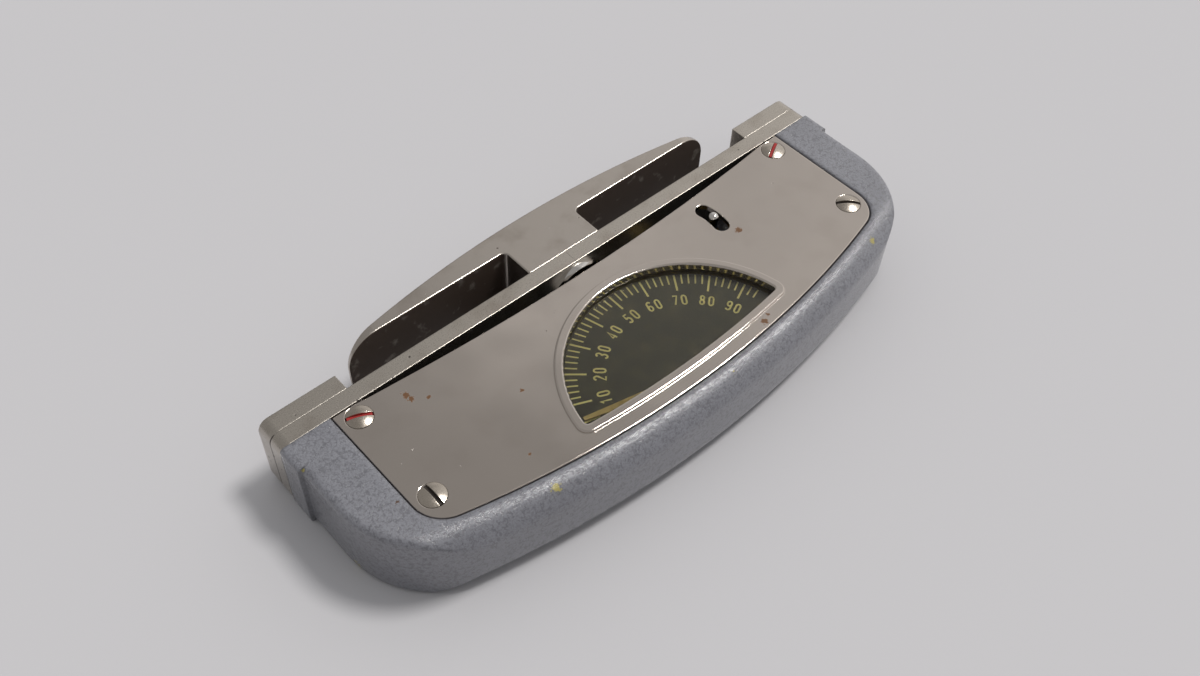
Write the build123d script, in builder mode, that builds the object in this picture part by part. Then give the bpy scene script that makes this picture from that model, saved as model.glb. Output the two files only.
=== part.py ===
from build123d import *
from math import acos, atan2, cos, degrees, pi, radians, sin, sqrt, tan
import os

os.makedirs("parts", exist_ok=True)

# Hand dynamometer with a flat spring, lying on its back, dial up.
# X runs along the spring bar, +Y points to the finger grip, -Y to the palm, +Z up.
# The origin is on the table, under the middle of the object.

# Driving dimensions of the body
body_height = 18.0
palm_depth = 44.3
grip_reach = 17.4
bar_half = 72.0
palm_radius = 237.0
palm_corner = 21.6
floor_thickness = 2.2
cavity_corner = 6.0
cover_ledge = 0.5
side_rounding = 1.4
palm_rounding = 5.0
lug_step = 0.8
lug_length = 5.9
lug_width = 9.0
lug_rounding = 1.0

# Spring bar and its clamps
bar_thickness = 3.7
bar_lift = 0.2
end_rounding = 2.4
block_length = 17.3
block_thickness = 4.2
block_edge = 0.3
clamp_screw_inset = 8.7
clamp_screw_radius = 2.0
clamp_head_radius = 3.5
clamp_screw_length = 16.0
clamp_slot = 1.0
stroke = 1.3

# Finger grip
grip_inset = 22.5
grip_radius = 245.0
grip_inner = 11.6
grip_end_rounding = 7.0
grip_edge = 0.3
bridge_half = 9.6
bridge_corner = 1.3
stud_radius = 4.0
nut_margin = 0.6
nut_thickness = 1.5
nut_chamfer = 0.4
nut_slot_width = 2.0
nut_slot_depth = 0.7
pusher_radius = 1.4
pusher_hex = 2.6
pusher_collar = 1.6
pusher_thread = 5.0
pusher_chamfer = 0.3

# Cover, window and slot
side_wall = 10.5
back_wall = 5.3
cover_seat = 7.1
cover_flattening = 3.5
cover_corner = 7.0
cover_thickness = 1.2
cover_gap = 0.35
cover_front_gap = 0.25
cover_edge = 0.25
bar_relief = 3.1
relief_radius = 550.0
window_radius = 26.4
window_back = 34.0
window_corner = 0.8
rim_width = 1.9
rim_height = 0.5
rim_corner = 2.4
rim_edge = 0.35
cover_screw_inset = 4.0
cover_screw_front = 3.3
cover_screw_back = 25.7
cover_screw_radius = 1.5
cover_head_radius = 2.7
cover_head_rise = 0.6
dome_share = 0.76
cover_screw_length = 7.0
cover_screw_slot = 0.8
cover_slot_angles = (-24.0, 27.0, 90.0, -42.0)
slot_width = 3.65

# Dial, pane and pointer
dial_centre_depth = 36.2
dial_depth = 3.0
dial_thickness = 0.8
dial_radius = 28.2
dial_margin = 0.5
ear_radius = 2.9
ear_standoff = 2.8
ear_depth = 33.0
front_ear_angle = 107.6
pane_thickness = 0.8
pane_margin = 1.2
frame_wall = 0.8
frame_lip = 0.8
frame_lip_thickness = 0.25
frame_open = 3.2
pointer_angle = 165.5
pointer_length = 25.2
pointer_tip = 0.9
pointer_root = 2.3
pointer_thickness = 0.3
pointer_gap = 0.35
pointer_hub = 1.8

# Gearing: the pusher turns the sector, the sector turns the pinion
gear_module = 0.32
pinion_teeth = 10
sector_teeth = 150
pressure_angle = 20.0
tooth_share = 0.43
addendum = 0.8
dedendum = 1.35
root_overlap = 0.1
pointer_travel = 146.0
rim_margin_teeth = 2
rim_depth = 1.9
sector_thickness = 1.0
sector_hub = 2.2
arm_root = 2.4
arm_end = 1.1
pinion_height = 2.0
nose_radius = 1.0
nose_neck = 0.6
nose_root = 1.8
nose_gap = 0.04
brake_radius = 4.4

# Movement plates and posts
plate_level = 4.2
plate_thickness = 1.2
plate_inset = 17.6
plate_corner = 5.0
plate_front = 4.6
plate_gap = 0.4
upper_gap = 1.6
upper_thickness = 1.0
upper_lug = 2.6
pivot_radius = 0.6
arbor_radius = 1.2
pillar_radius = 2.0
bridge_pillar_radius = 1.8
small_screw_radius = 0.9
small_hole_margin = 0.4
small_head_radius = 1.6
small_head_height = 0.9
small_head_chamfer = 0.2
small_slot = 0.4
boss_radius = 2.6
screw_margin = 1.0
plate_screw_inset = 3.5
plate_screw_depth = 17.0
back_screw_inset = 14.0
back_screw_depth = 33.0
bridge_left = 11.0
bridge_right = 12.0
bridge_front = 13.0
bridge_back_depth = 29.0
bridge_front_depth = 6.5
stop_radius = 0.75
stop_reach = 14.0

# Hold lever
lever_x = 19.0
lever_depth = 9.5
lever_arm = 12.0
lever_swing = 13.0
lever_gap = 0.35
lever_thickness = 0.8
lever_hub = 2.9
lever_end = 1.8
brake_arm = 6.5
brake_angle = 215.0
brake_pin_radius = 0.75
hold_pin_radius = 1.1
hold_pin_rise = 1.0
post_radius = 2.5
post_hole_share = 0.65
washer_radius = 2.2
washer_thickness = 0.2
lever_head_radius = 2.3

# Return spring: a leaf held in a slit post
leaf_thickness = 0.3
leaf_share = 0.65
leaf_bow = 0.5
leaf_over = 1.2
spring_post_x = 7.4
spring_post_depth = 31.0
spring_post_radius = 1.2
peg_radius = 0.6
peg_gap = 0.8
peg_reach = 10.0

# Clearances
fit = 0.05
hole_gap = 0.1
link_gap = 0.1

# Levels and places worked out from the sizes above
side_half = bar_half - lug_step
cover_half = side_half - side_wall
cavity_half = cover_half - cover_seat
grip_half = bar_half - grip_inset
plate_half = cavity_half - plate_inset
ear_reach = dial_radius + ear_standoff
cover_screw_x = cover_half - cover_screw_inset
plate_screw_x = plate_half - plate_screw_inset
back_screw_x = plate_half - back_screw_inset
cover_back = palm_depth - back_wall
cover_radius = palm_radius - side_wall - cover_flattening
bar_y = (palm_depth - grip_reach) / 2
palm_y = -(palm_depth + grip_reach) / 2
bar_height = body_height - bar_lift
mid_height = bar_lift + bar_height / 2
bar_front = bar_y + bar_thickness
block_front = bar_front + block_thickness
cover_under = body_height - cover_thickness
cavity_radius = cover_radius + cover_gap - cover_ledge
cavity_back = bar_y - cover_back - cover_gap + cover_ledge
window_chord = cover_radius - (cover_back - window_back)
arc_centre_y = bar_y - cover_back + cover_radius
dial_y = bar_y - dial_centre_depth
dial_top = body_height - dial_depth
dial_under = dial_top - dial_thickness
pane_under = cover_under - pane_thickness
plate_top = plate_level + plate_thickness
upper_top = dial_under - upper_gap
upper_level = upper_top - upper_thickness
sector_level = mid_height - sector_thickness / 2
sector_top = sector_level + sector_thickness
lever_level = upper_top + lever_gap
post_hole_depth = post_hole_share * (lever_level - plate_top)
nut_radius = bar_height / 2 - nut_margin
small_screw_length = body_height / 5
small_hole_depth = small_screw_length + small_hole_margin
peg_length = sector_level - plate_top - peg_gap
leaf_height = leaf_share * peg_length

# Gear geometry
pinion_radius = gear_module * pinion_teeth / 2
sector_radius = gear_module * sector_teeth / 2
sector_travel = pointer_travel * pinion_teeth / sector_teeth
nose_arm = stroke / (2 * sin(radians(sector_travel / 2)))
pivot_x = nose_arm * cos(radians(sector_travel / 2))
pivot_y = dial_y + sqrt((pinion_radius + sector_radius) ** 2 - pivot_x**2)
mesh_angle = degrees(atan2(dial_y - pivot_y, -pivot_x))
rim_angle = mesh_angle - sector_travel / 2
nose_angle = 180 - sector_travel / 2
nose_x = pivot_x + nose_arm * cos(radians(nose_angle))
nose_y = pivot_y + nose_arm * sin(radians(nose_angle))
pusher_tip = nose_y + nose_radius + nose_gap
clamp_screw_x = bar_half - clamp_screw_inset
lever_y = bar_y - lever_depth


def across(y):
    """Vertical plane along the bar, at depth y; a negative extrusion goes to the front."""
    return Plane.XZ.offset(-y)


def polar(x, y, radius, angle):
    """Point at a radius and an angle in degrees from (x, y)."""
    return (x + radius * cos(radians(angle)), y + radius * sin(radians(angle)))


def tray_outline(half, back, radius, corner, front):
    """Straight sides, an arc at the back and two rounded back corners."""
    with BuildSketch() as outline:
        with Locations((0, back + radius)):
            Circle(radius)
        with Locations((0, (back + front) / 2)):
            Rectangle(2 * half, front - back, mode=Mode.INTERSECT)
        fillet(outline.vertices().sort_by(Axis.Y)[:2], corner)
    return outline.sketch


def half_moon(radius, chord, corner):
    """Half-moon about the dial centre, closed by a shallow arc at the back."""
    with BuildSketch() as outline:
        with Locations((0, dial_y)):
            Circle(radius)
        with Locations((0, arc_centre_y)):
            Circle(chord, mode=Mode.INTERSECT)
        fillet(outline.vertices(), corner)
    return outline.sketch


def flank_angle(radius, pitch, half_tooth):
    """Half the angle that an involute tooth takes up at a radius."""
    base = pitch * cos(radians(pressure_angle))
    pressure = acos(min(1, base / radius))
    spread = tan(radians(pressure_angle)) - radians(pressure_angle)
    return degrees(half_tooth / pitch + spread - (tan(pressure) - pressure))


def tooth_points(x, y, pitch, angle):
    """Outline of one gear tooth, from its root to its tip and back."""
    half_tooth = pi * gear_module * tooth_share / 2
    root = pitch - dedendum * gear_module
    tip = pitch + addendum * gear_module
    base = max(root, pitch * cos(radians(pressure_angle)))
    rings = [root - root_overlap, base, pitch, (pitch + tip) / 2, tip]
    left = [polar(x, y, ring, angle + flank_angle(ring, pitch, half_tooth)) for ring in rings]
    right = [polar(x, y, ring, angle - flank_angle(ring, pitch, half_tooth)) for ring in rings]
    return left + right[::-1]


def slotted_screw(head_radius=small_head_radius, length=small_screw_length):
    """Cheese-head screw, its shank pointing down from the origin."""
    with BuildPart() as screw:
        with BuildSketch():
            Circle(head_radius)
        extrude(amount=small_head_height)
        chamfer(screw.faces().sort_by(Axis.Z)[-1].edges(), small_head_chamfer)
        with BuildSketch():
            Circle(small_screw_radius)
        extrude(amount=-length)
        with Locations((0, 0, small_head_height)):
            Box(3 * head_radius, small_slot, small_head_height, mode=Mode.SUBTRACT)
    return screw.part


def countersunk_screw(radius, length, head_radius, rise, slot):
    """Slotted countersunk screw, its head level with the origin plane, shank down."""
    cone = head_radius - radius
    with BuildPart() as screw:
        with BuildSketch(Plane.XZ):
            with BuildLine():
                head = ThreePointArc((head_radius, 0), (head_radius / 2, rise * dome_share), (0, rise))
                Polyline(head @ 1, (0, -length), (radius, -length), (radius, -cone), head @ 0)
            make_face()
        revolve(axis=Axis.Z)
        with Locations((0, 0, rise)):
            Box(3 * head_radius, slot, 2 * slot, mode=Mode.SUBTRACT)
    return screw.part


# Housing: casting for the palm, open at the top and at the front, with lugs for the bar
cover_spots = [
    (-cover_screw_x, bar_y - cover_screw_front),
    (cover_screw_x, bar_y - cover_screw_front),
    (-cover_screw_x, bar_y - cover_screw_back),
    (cover_screw_x, bar_y - cover_screw_back),
]
clamp_spots = [
    (side * clamp_screw_x, mid_height + level * bar_height / 4)
    for side in (-1, 1)
    for level in (-1, 1)
]
plate_screw_spots = [
    (-plate_screw_x, bar_y - plate_screw_depth),
    (plate_screw_x, bar_y - plate_screw_depth),
    (-back_screw_x, bar_y - back_screw_depth),
    (back_screw_x, bar_y - back_screw_depth),
]
wall_outline = tray_outline(side_half, palm_y, palm_radius, palm_corner, bar_y)
recess_outline = tray_outline(
    cover_half + cover_gap,
    bar_y - cover_back - cover_gap,
    cover_radius + cover_gap,
    cover_corner + cover_gap,
    bar_y,
)
cavity_outline = tray_outline(cavity_half, cavity_back, cavity_radius, cavity_corner, bar_y)

with BuildPart() as housing:
    with BuildSketch():
        add(wall_outline)
    extrude(amount=body_height)
    rims = housing.edges().filter_by(Plane.XY)
    front_rims = rims.filter_by(Axis.X)
    fillet(rims - front_rims, side_rounding)
    with BuildSketch(Plane((0, palm_y + palm_radius, 0), x_dir=(0, -1, 0), z_dir=(-1, 0, 0))) as palm_section:
        with Locations((palm_radius - palm_depth, body_height / 2)):
            Rectangle(2 * palm_depth, body_height)
        fillet(palm_section.vertices().sort_by(Axis.X)[-2:], palm_rounding)
    revolve(axis=Axis((0, palm_y + palm_radius, 0), (0, 0, 1)), revolution_arc=360, mode=Mode.INTERSECT)
    for side in (-1, 1):
        with BuildSketch(across(bar_y - lug_length)) as lug:
            with Locations((side * (bar_half - lug_width / 2), body_height / 2)):
                Rectangle(lug_width, body_height)
            fillet(lug.vertices().sort_by(Axis.X)[2 * (side > 0) : 2 * (side > 0) + 2], lug_rounding)
        extrude(amount=-lug_length)
    with BuildSketch(Plane.XY.offset(body_height)):
        add(recess_outline)
    extrude(amount=-cover_thickness, mode=Mode.SUBTRACT)
    with BuildSketch(Plane.XY.offset(body_height)):
        add(cavity_outline)
    extrude(amount=floor_thickness - body_height, mode=Mode.SUBTRACT)
    with BuildSketch():
        with Locations((0, bar_y - bar_relief + relief_radius)):
            Circle(relief_radius)
        with Locations((0, bar_y)):
            Rectangle(2 * cavity_half, 4 * bar_relief, mode=Mode.INTERSECT)
    extrude(amount=body_height, mode=Mode.SUBTRACT)
    with BuildSketch(Plane.XY.offset(floor_thickness)):
        with Locations(*plate_screw_spots):
            Circle(boss_radius)
    extrude(amount=plate_level - floor_thickness)
    with Locations(*[(x, y, plate_level) for x, y in plate_screw_spots]):
        Hole(small_screw_radius + fit, depth=small_screw_length - plate_thickness + hole_gap)
    with Locations(*[(x, y, cover_under) for x, y in cover_spots]):
        Hole(cover_screw_radius + fit, depth=cover_screw_length)
    with BuildSketch(across(bar_y)):
        with Locations(*clamp_spots):
            Circle(clamp_screw_radius + fit)
    extrude(amount=clamp_screw_length - bar_thickness - block_thickness + screw_margin, mode=Mode.SUBTRACT)
housing.part.label = "housing"
export_step(housing.part, "parts/housing.step")

# Spring bar: flat steel, clamped at its ends, bored in the middle for the grip's stud
with BuildPart() as spring_bar:
    with BuildSketch(across(bar_y)) as bar_face:
        with Locations((0, mid_height)):
            RectangleRounded(2 * bar_half, bar_height, end_rounding)
        with Locations((0, mid_height)):
            Circle(stud_radius + fit, mode=Mode.SUBTRACT)
        with Locations(*clamp_spots):
            Circle(clamp_screw_radius + hole_gap, mode=Mode.SUBTRACT)
    extrude(amount=-bar_thickness)
spring_bar.part.label = "spring_bar"
export_step(spring_bar.part, "parts/spring_bar.step")

# Clamp blocks: one on each end of the bar, countersunk at the front
for side, side_name in ((-1, "left"), (1, "right")):
    with BuildPart() as clamp_block:
        with BuildSketch(across(bar_front)) as block_face:
            with Locations((side * (bar_half - block_length / 2), mid_height)):
                Rectangle(block_length, bar_height)
            block_corners = block_face.vertices().sort_by(Axis.X)
            outer_corners = block_corners[2:] if side > 0 else block_corners[:2]
            fillet(outer_corners, end_rounding)
        extrude(amount=-block_thickness)
        front_edges = clamp_block.faces().sort_by(Axis.Y)[-1].edges()
        chamfer(front_edges, block_edge)
        with BuildSketch(across(block_front)):
            with Locations(*[spot for spot in clamp_spots if spot[0] * side > 0]):
                Circle(clamp_screw_radius + hole_gap)
        extrude(amount=block_thickness, mode=Mode.SUBTRACT)
        with BuildSketch(across(block_front)):
            with Locations(*[spot for spot in clamp_spots if spot[0] * side > 0]):
                Circle(clamp_head_radius)
        extrude(amount=clamp_head_radius - clamp_screw_radius, taper=45, mode=Mode.SUBTRACT)
    clamp_block.part.label = "clamp_block_" + side_name
    export_step(clamp_block.part, "parts/clamp_block_" + side_name + ".step")

# Clamp screws: two through each block and the bar into the housing
clamp_screw = countersunk_screw(
    clamp_screw_radius,
    clamp_screw_length,
    clamp_head_radius,
    cover_head_rise,
    clamp_slot,
)
with BuildPart() as clamp_screws:
    for x, z in clamp_spots:
        with Locations(Plane((x, block_front, z), x_dir=(1, 0, 0), z_dir=(0, 1, 0))):
            add(clamp_screw)
clamp_screws.part.label = "clamp_screws"
export_step(clamp_screws.part, "parts/clamp_screws.step")

# Front grip: lens-shaped arm, bridge to the bar, stud through the bar
with BuildPart() as front_grip:
    with BuildSketch(Plane.XY.offset(bar_lift)) as grip_plan:
        with Locations((0, bar_y + grip_reach - grip_radius)):
            Circle(grip_radius)
        with Locations((0, bar_y + grip_inner + grip_reach / 2)):
            Rectangle(2 * bar_half, grip_reach, mode=Mode.INTERSECT)
        with Locations((0, (bar_front + bar_y + grip_inner) / 2)):
            Rectangle(2 * bridge_half, bar_y + grip_inner - bar_front)
        bridge_corners = grip_plan.vertices().group_by(Axis.Y)[1].sort_by(Axis.X)[1:3]
        fillet(bridge_corners, bridge_corner)
    extrude(amount=bar_height)
    with BuildSketch(across(bar_y)):
        with Locations((0, mid_height)):
            RectangleRounded(2 * grip_half, bar_height, grip_end_rounding)
    extrude(amount=-grip_reach, mode=Mode.INTERSECT)
    grip_outline = front_grip.faces().filter_by(Axis.Z).edges().filter_by(Axis.Y, reverse=True)
    fillet(grip_outline - grip_outline.group_by(Axis.Y)[0], grip_edge)
    with BuildSketch(across(bar_front)):
        with Locations((0, mid_height)):
            Circle(stud_radius)
    extrude(amount=bar_thickness + nut_thickness)
    with BuildSketch(across(bar_y - nut_thickness)):
        with Locations((0, mid_height)):
            Circle(small_screw_radius + fit)
    extrude(amount=-pusher_thread - screw_margin, mode=Mode.SUBTRACT)
front_grip.part.label = "front_grip"
export_step(front_grip.part, "parts/front_grip.step")

# Grip nut: large round nut on the back of the bar, slotted for a spanner
with BuildPart() as grip_nut:
    with BuildSketch(across(bar_y)):
        with Locations((0, mid_height)):
            Circle(nut_radius)
            Circle(stud_radius + fit, mode=Mode.SUBTRACT)
    extrude(amount=nut_thickness)
    nut_rim = grip_nut.faces().sort_by(Axis.Y)[0].edges().filter_by(GeomType.CIRCLE).sort_by(SortBy.RADIUS)[-1]
    chamfer(nut_rim, nut_chamfer)
    with BuildSketch(across(bar_y - nut_thickness)):
        with Locations((-nut_radius, mid_height), (nut_radius, mid_height)):
            Rectangle(nut_radius, nut_slot_width)
    extrude(amount=-nut_slot_depth, mode=Mode.SUBTRACT)
grip_nut.part.label = "grip_nut"
export_step(grip_nut.part, "parts/grip_nut.step")

# Pusher: screwed into the stud, its round tip bears on the nose of the sector
pusher_root = bar_y - nut_thickness
with BuildPart() as pusher:
    with BuildSketch(across(pusher_root)):
        with Locations((0, mid_height)):
            Circle(small_screw_radius)
    extrude(amount=-pusher_thread)
    with BuildSketch(across(pusher_root)):
        with Locations((0, mid_height)):
            RegularPolygon(pusher_hex, 6)
    extrude(amount=pusher_collar)
    with BuildSketch(across(pusher_root - pusher_collar)):
        with Locations((0, mid_height)):
            Circle(pusher_radius)
    extrude(amount=pusher_root - pusher_collar - pusher_tip)
    chamfer(pusher.faces().sort_by(Axis.Y)[0].edges(), pusher_chamfer)
pusher.part.label = "pusher"
export_step(pusher.part, "parts/pusher.step")

# Cover: plate with a half-moon window, a raised rim, a curved slot and four countersinks
window_outline = half_moon(window_radius, window_chord, window_corner)
rim_outline = half_moon(window_radius + rim_width, window_chord + rim_width, rim_corner)
cover_outline = tray_outline(
    cover_half, bar_y - cover_back, cover_radius, cover_corner, bar_y - cover_front_gap
)
with BuildPart() as cover:
    with BuildSketch(Plane.XY.offset(cover_under)):
        add(cover_outline)
        with Locations((0, bar_y - bar_relief + relief_radius)):
            Circle(relief_radius, mode=Mode.SUBTRACT)
    extrude(amount=cover_thickness)
    fillet(cover.faces().sort_by(Axis.Z)[-1].edges(), cover_edge)
    with BuildSketch(Plane.XY.offset(cover_under)):
        add(rim_outline)
    extrude(amount=cover_thickness + rim_height)
    fillet(cover.faces().sort_by(Axis.Z)[-1].edges(), rim_edge)
    with BuildSketch(Plane.XY.offset(cover_under)):
        add(window_outline)
    extrude(amount=cover_thickness + rim_height, mode=Mode.SUBTRACT)
    fillet(cover.faces().sort_by(Axis.Z)[-1].inner_wires()[0].edges(), rim_edge)
    with BuildSketch(Plane.XY.offset(cover_under)):
        with BuildLine(mode=Mode.PRIVATE) as slot_path:
            CenterArc((lever_x, lever_y), lever_arm, -lever_swing, 2 * lever_swing)
        SlotArc(slot_path.edge(), slot_width)
    extrude(amount=cover_thickness, mode=Mode.SUBTRACT)
    with Locations(*[(x, y, body_height) for x, y in cover_spots]):
        CounterSinkHole(cover_screw_radius + hole_gap, cover_head_radius + hole_gap, counter_sink_angle=90)
cover.part.label = "cover"
export_step(cover.part, "parts/cover.step")

# Cover screws: slotted raised countersunk, each turned as it was left
cover_screw = countersunk_screw(
    cover_screw_radius,
    cover_thickness + cover_screw_length - screw_margin,
    cover_head_radius,
    cover_head_rise,
    cover_screw_slot,
)
with BuildPart() as cover_screws:
    for (x, y), angle in zip(cover_spots, cover_slot_angles):
        with Locations(Location((x, y, body_height), (0, 0, angle))):
            add(cover_screw)
cover_screws.part.label = "cover_screws"
export_step(cover_screws.part, "parts/cover_screws.step")

# Window pane: half-moon, a margin larger than the window, up against the cover
with BuildPart() as window_pane:
    with BuildSketch(Plane.XY.offset(pane_under)):
        add(half_moon(window_radius + pane_margin, window_chord + pane_margin, rim_corner))
    extrude(amount=pane_thickness)
window_pane.part.label = "window_pane"
export_step(window_pane.part, "parts/window_pane.step")

# Pane frame: arc that holds the pane by a lip from below
frame_inner = window_radius + pane_margin + fit
with BuildPart() as pane_frame:
    with BuildSketch(Plane.XY.offset(pane_under - frame_lip_thickness)):
        with Locations((0, dial_y)):
            Circle(frame_inner + frame_wall)
            Circle(frame_inner, mode=Mode.SUBTRACT)
        with Locations((0, dial_y + frame_open + dial_radius)):
            Rectangle(4 * dial_radius, 2 * dial_radius, mode=Mode.INTERSECT)
    extrude(amount=pane_thickness + frame_lip_thickness)
    with BuildSketch(Plane.XY.offset(pane_under - frame_lip_thickness)):
        with Locations((0, dial_y)):
            Circle(frame_inner + frame_wall)
            Circle(frame_inner - frame_lip, mode=Mode.SUBTRACT)
        with Locations((0, dial_y + frame_open + dial_radius)):
            Rectangle(4 * dial_radius, 2 * dial_radius, mode=Mode.INTERSECT)
    extrude(amount=frame_lip_thickness)
pane_frame.part.label = "pane_frame"
export_step(pane_frame.part, "parts/pane_frame.step")

# Dial: half-moon plate with three ears
front_ear = polar(0, dial_y, ear_reach, front_ear_angle)
ear_spots = [(-ear_reach, bar_y - ear_depth), (ear_reach, bar_y - ear_depth), front_ear]
with BuildPart() as dial:
    with BuildSketch(Plane.XY.offset(dial_under)):
        with Locations((0, dial_y)):
            Circle(dial_radius)
        add(
            tray_outline(plate_half, cavity_back + dial_margin, cavity_radius - dial_margin, plate_corner, bar_y),
            mode=Mode.INTERSECT,
        )
        with Locations(*ear_spots):
            Circle(ear_radius)
        with Locations((0, bar_y - ear_depth)):
            Rectangle(2 * ear_reach, 2 * ear_radius)
        with Locations(*ear_spots):
            Circle(small_screw_radius + hole_gap, mode=Mode.SUBTRACT)
        with Locations((0, dial_y)):
            Circle(arbor_radius, mode=Mode.SUBTRACT)
    extrude(amount=dial_thickness)
dial.part.label = "dial"
export_step(dial.part, "parts/dial.step")

# Dial pillars and dial screws
small_screw = slotted_screw()
with BuildPart() as dial_pillars:
    with BuildSketch(Plane.XY.offset(plate_top)):
        with Locations(*ear_spots):
            Circle(pillar_radius)
    extrude(amount=dial_under - plate_top)
    with Locations(*[(x, y, dial_under) for x, y in ear_spots]):
        Hole(small_screw_radius + fit, depth=small_hole_depth)
dial_pillars.part.label = "dial_pillars"
export_step(dial_pillars.part, "parts/dial_pillars.step")

with BuildPart() as dial_screws:
    for x, y in ear_spots:
        with Locations((x, y, dial_top)):
            add(small_screw)
dial_screws.part.label = "dial_screws"
export_step(dial_screws.part, "parts/dial_screws.step")

# Base plate: carries the movement, screwed to the bosses of the housing
with BuildPart() as base_plate:
    with BuildSketch(Plane.XY.offset(plate_level)):
        add(
            tray_outline(
                plate_half, cavity_back + plate_gap, cavity_radius - plate_gap, plate_corner, bar_y - plate_front
            )
        )
        with Locations(*plate_screw_spots):
            Circle(small_screw_radius + hole_gap, mode=Mode.SUBTRACT)
        with Locations((pivot_x, pivot_y), (0, dial_y)):
            Circle(pivot_radius + fit, mode=Mode.SUBTRACT)
    extrude(amount=plate_thickness)
base_plate.part.label = "base_plate"
export_step(base_plate.part, "parts/base_plate.step")

with BuildPart() as plate_screws:
    for x, y in plate_screw_spots:
        with Locations((x, y, plate_top)):
            add(small_screw)
plate_screws.part.label = "plate_screws"
export_step(plate_screws.part, "parts/plate_screws.step")

# Upper plate on three pillars: holds the upper pivots of the sector and the pinion
bridge_spots = [
    (-bridge_left, bar_y - bridge_back_depth),
    (bridge_right, bar_y - bridge_back_depth),
    (bridge_front, bar_y - bridge_front_depth),
]
with BuildPart() as upper_plate:
    with BuildSketch(Plane.XY.offset(upper_level)):
        with Locations(bridge_spots[0], bridge_spots[1], (0, dial_y + upper_lug / 4), (pivot_x, pivot_y)):
            Circle(upper_lug)
        make_hull()
    with BuildSketch(Plane.XY.offset(upper_level)):
        with Locations(bridge_spots[2], (pivot_x, pivot_y)):
            Circle(upper_lug)
        make_hull()
    extrude(amount=upper_thickness)
    with Locations(*[(x, y, upper_top) for x, y in bridge_spots]):
        Hole(small_screw_radius + hole_gap, depth=upper_thickness)
    with Locations((pivot_x, pivot_y, upper_top), (0, dial_y, upper_top)):
        Hole(pivot_radius + fit, depth=upper_thickness)
upper_plate.part.label = "upper_plate"
export_step(upper_plate.part, "parts/upper_plate.step")

with BuildPart() as bridge_pillars:
    with BuildSketch(Plane.XY.offset(plate_top)):
        with Locations(*bridge_spots):
            Circle(bridge_pillar_radius)
    extrude(amount=upper_level - plate_top)
    with Locations(*[(x, y, upper_level) for x, y in bridge_spots]):
        Hole(small_screw_radius + fit, depth=small_hole_depth)
bridge_pillars.part.label = "bridge_pillars"
export_step(bridge_pillars.part, "parts/bridge_pillars.step")

with BuildPart() as bridge_screws:
    for x, y in bridge_spots:
        with Locations((x, y, upper_top)):
            add(small_screw)
bridge_screws.part.label = "bridge_screws"
export_step(bridge_screws.part, "parts/bridge_screws.step")

# Sector: toothed rim, arm, brake disc, nose for the pusher and a peg for the spring
tooth_pitch = 360 / sector_teeth
rim_teeth = round(sector_travel / tooth_pitch) + 2 * rim_margin_teeth
sector_root = sector_radius - dedendum * gear_module
rim_half_angle = (rim_teeth + 1) * tooth_pitch / 2
peg_x, peg_y = polar(pivot_x, pivot_y, peg_reach, rim_angle)
with BuildPart() as sector:
    with BuildSketch(Plane.XY.offset(sector_level)):
        with Locations((pivot_x, pivot_y)):
            Circle(sector_root)
            Circle(sector_root - rim_depth, mode=Mode.SUBTRACT)
        edge_right = polar(pivot_x, pivot_y, 2 * sector_radius, rim_angle + rim_half_angle)
        edge_left = polar(pivot_x, pivot_y, 2 * sector_radius, rim_angle - rim_half_angle)
        with BuildLine():
            Polyline((pivot_x, pivot_y), edge_right, edge_left, close=True)
        make_face(mode=Mode.INTERSECT)
        for index in range(-rim_teeth, 2):
            if abs(index * tooth_pitch + mesh_angle - rim_angle) < rim_half_angle - tooth_pitch / 3:
                with BuildLine():
                    Polyline(*tooth_points(pivot_x, pivot_y, sector_radius, mesh_angle + index * tooth_pitch), close=True)
                make_face()
    with BuildSketch(Plane.XY.offset(sector_level)):
        with Locations((pivot_x, pivot_y)):
            Circle(arm_root)
        with Locations(polar(pivot_x, pivot_y, sector_root - arm_end, rim_angle)):
            Circle(arm_end)
        make_hull()
    with BuildSketch(Plane.XY.offset(sector_level)):
        with Locations((pivot_x, pivot_y)):
            Circle(nose_root)
        with Locations((nose_x, nose_y)):
            Circle(nose_neck)
        make_hull()
        with Locations((nose_x, nose_y)):
            Circle(nose_radius)
    with BuildSketch(Plane.XY.offset(sector_level)):
        with Locations((pivot_x, pivot_y)):
            Circle(brake_radius)
    extrude(amount=sector_thickness)
    with BuildSketch(Plane.XY.offset(plate_top + hole_gap)):
        with Locations((pivot_x, pivot_y)):
            Circle(sector_hub)
    extrude(amount=upper_level - plate_top - 2 * hole_gap)
    with BuildSketch(Plane.XY.offset(sector_level)):
        with Locations((peg_x, peg_y)):
            Circle(peg_radius)
    extrude(amount=-peg_length)
    with BuildSketch(Plane.XY.offset(plate_top)):
        with Locations((pivot_x, pivot_y)):
            Circle(arbor_radius)
    extrude(amount=upper_level - plate_top, mode=Mode.SUBTRACT)
sector.part.label = "sector"
export_step(sector.part, "parts/sector.step")

# Sector arbor: shaft pressed into the sector, pivots at both ends
with BuildPart() as sector_arbor:
    with BuildSketch(Plane.XY.offset(plate_top + hole_gap)):
        with Locations((pivot_x, pivot_y)):
            Circle(arbor_radius)
    extrude(amount=upper_level - plate_top - 2 * hole_gap)
    with BuildSketch(Plane.XY.offset(plate_level)):
        with Locations((pivot_x, pivot_y)):
            Circle(pivot_radius)
    extrude(amount=upper_top - plate_level)
sector_arbor.part.label = "sector_arbor"
export_step(sector_arbor.part, "parts/sector_arbor.step")

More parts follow.
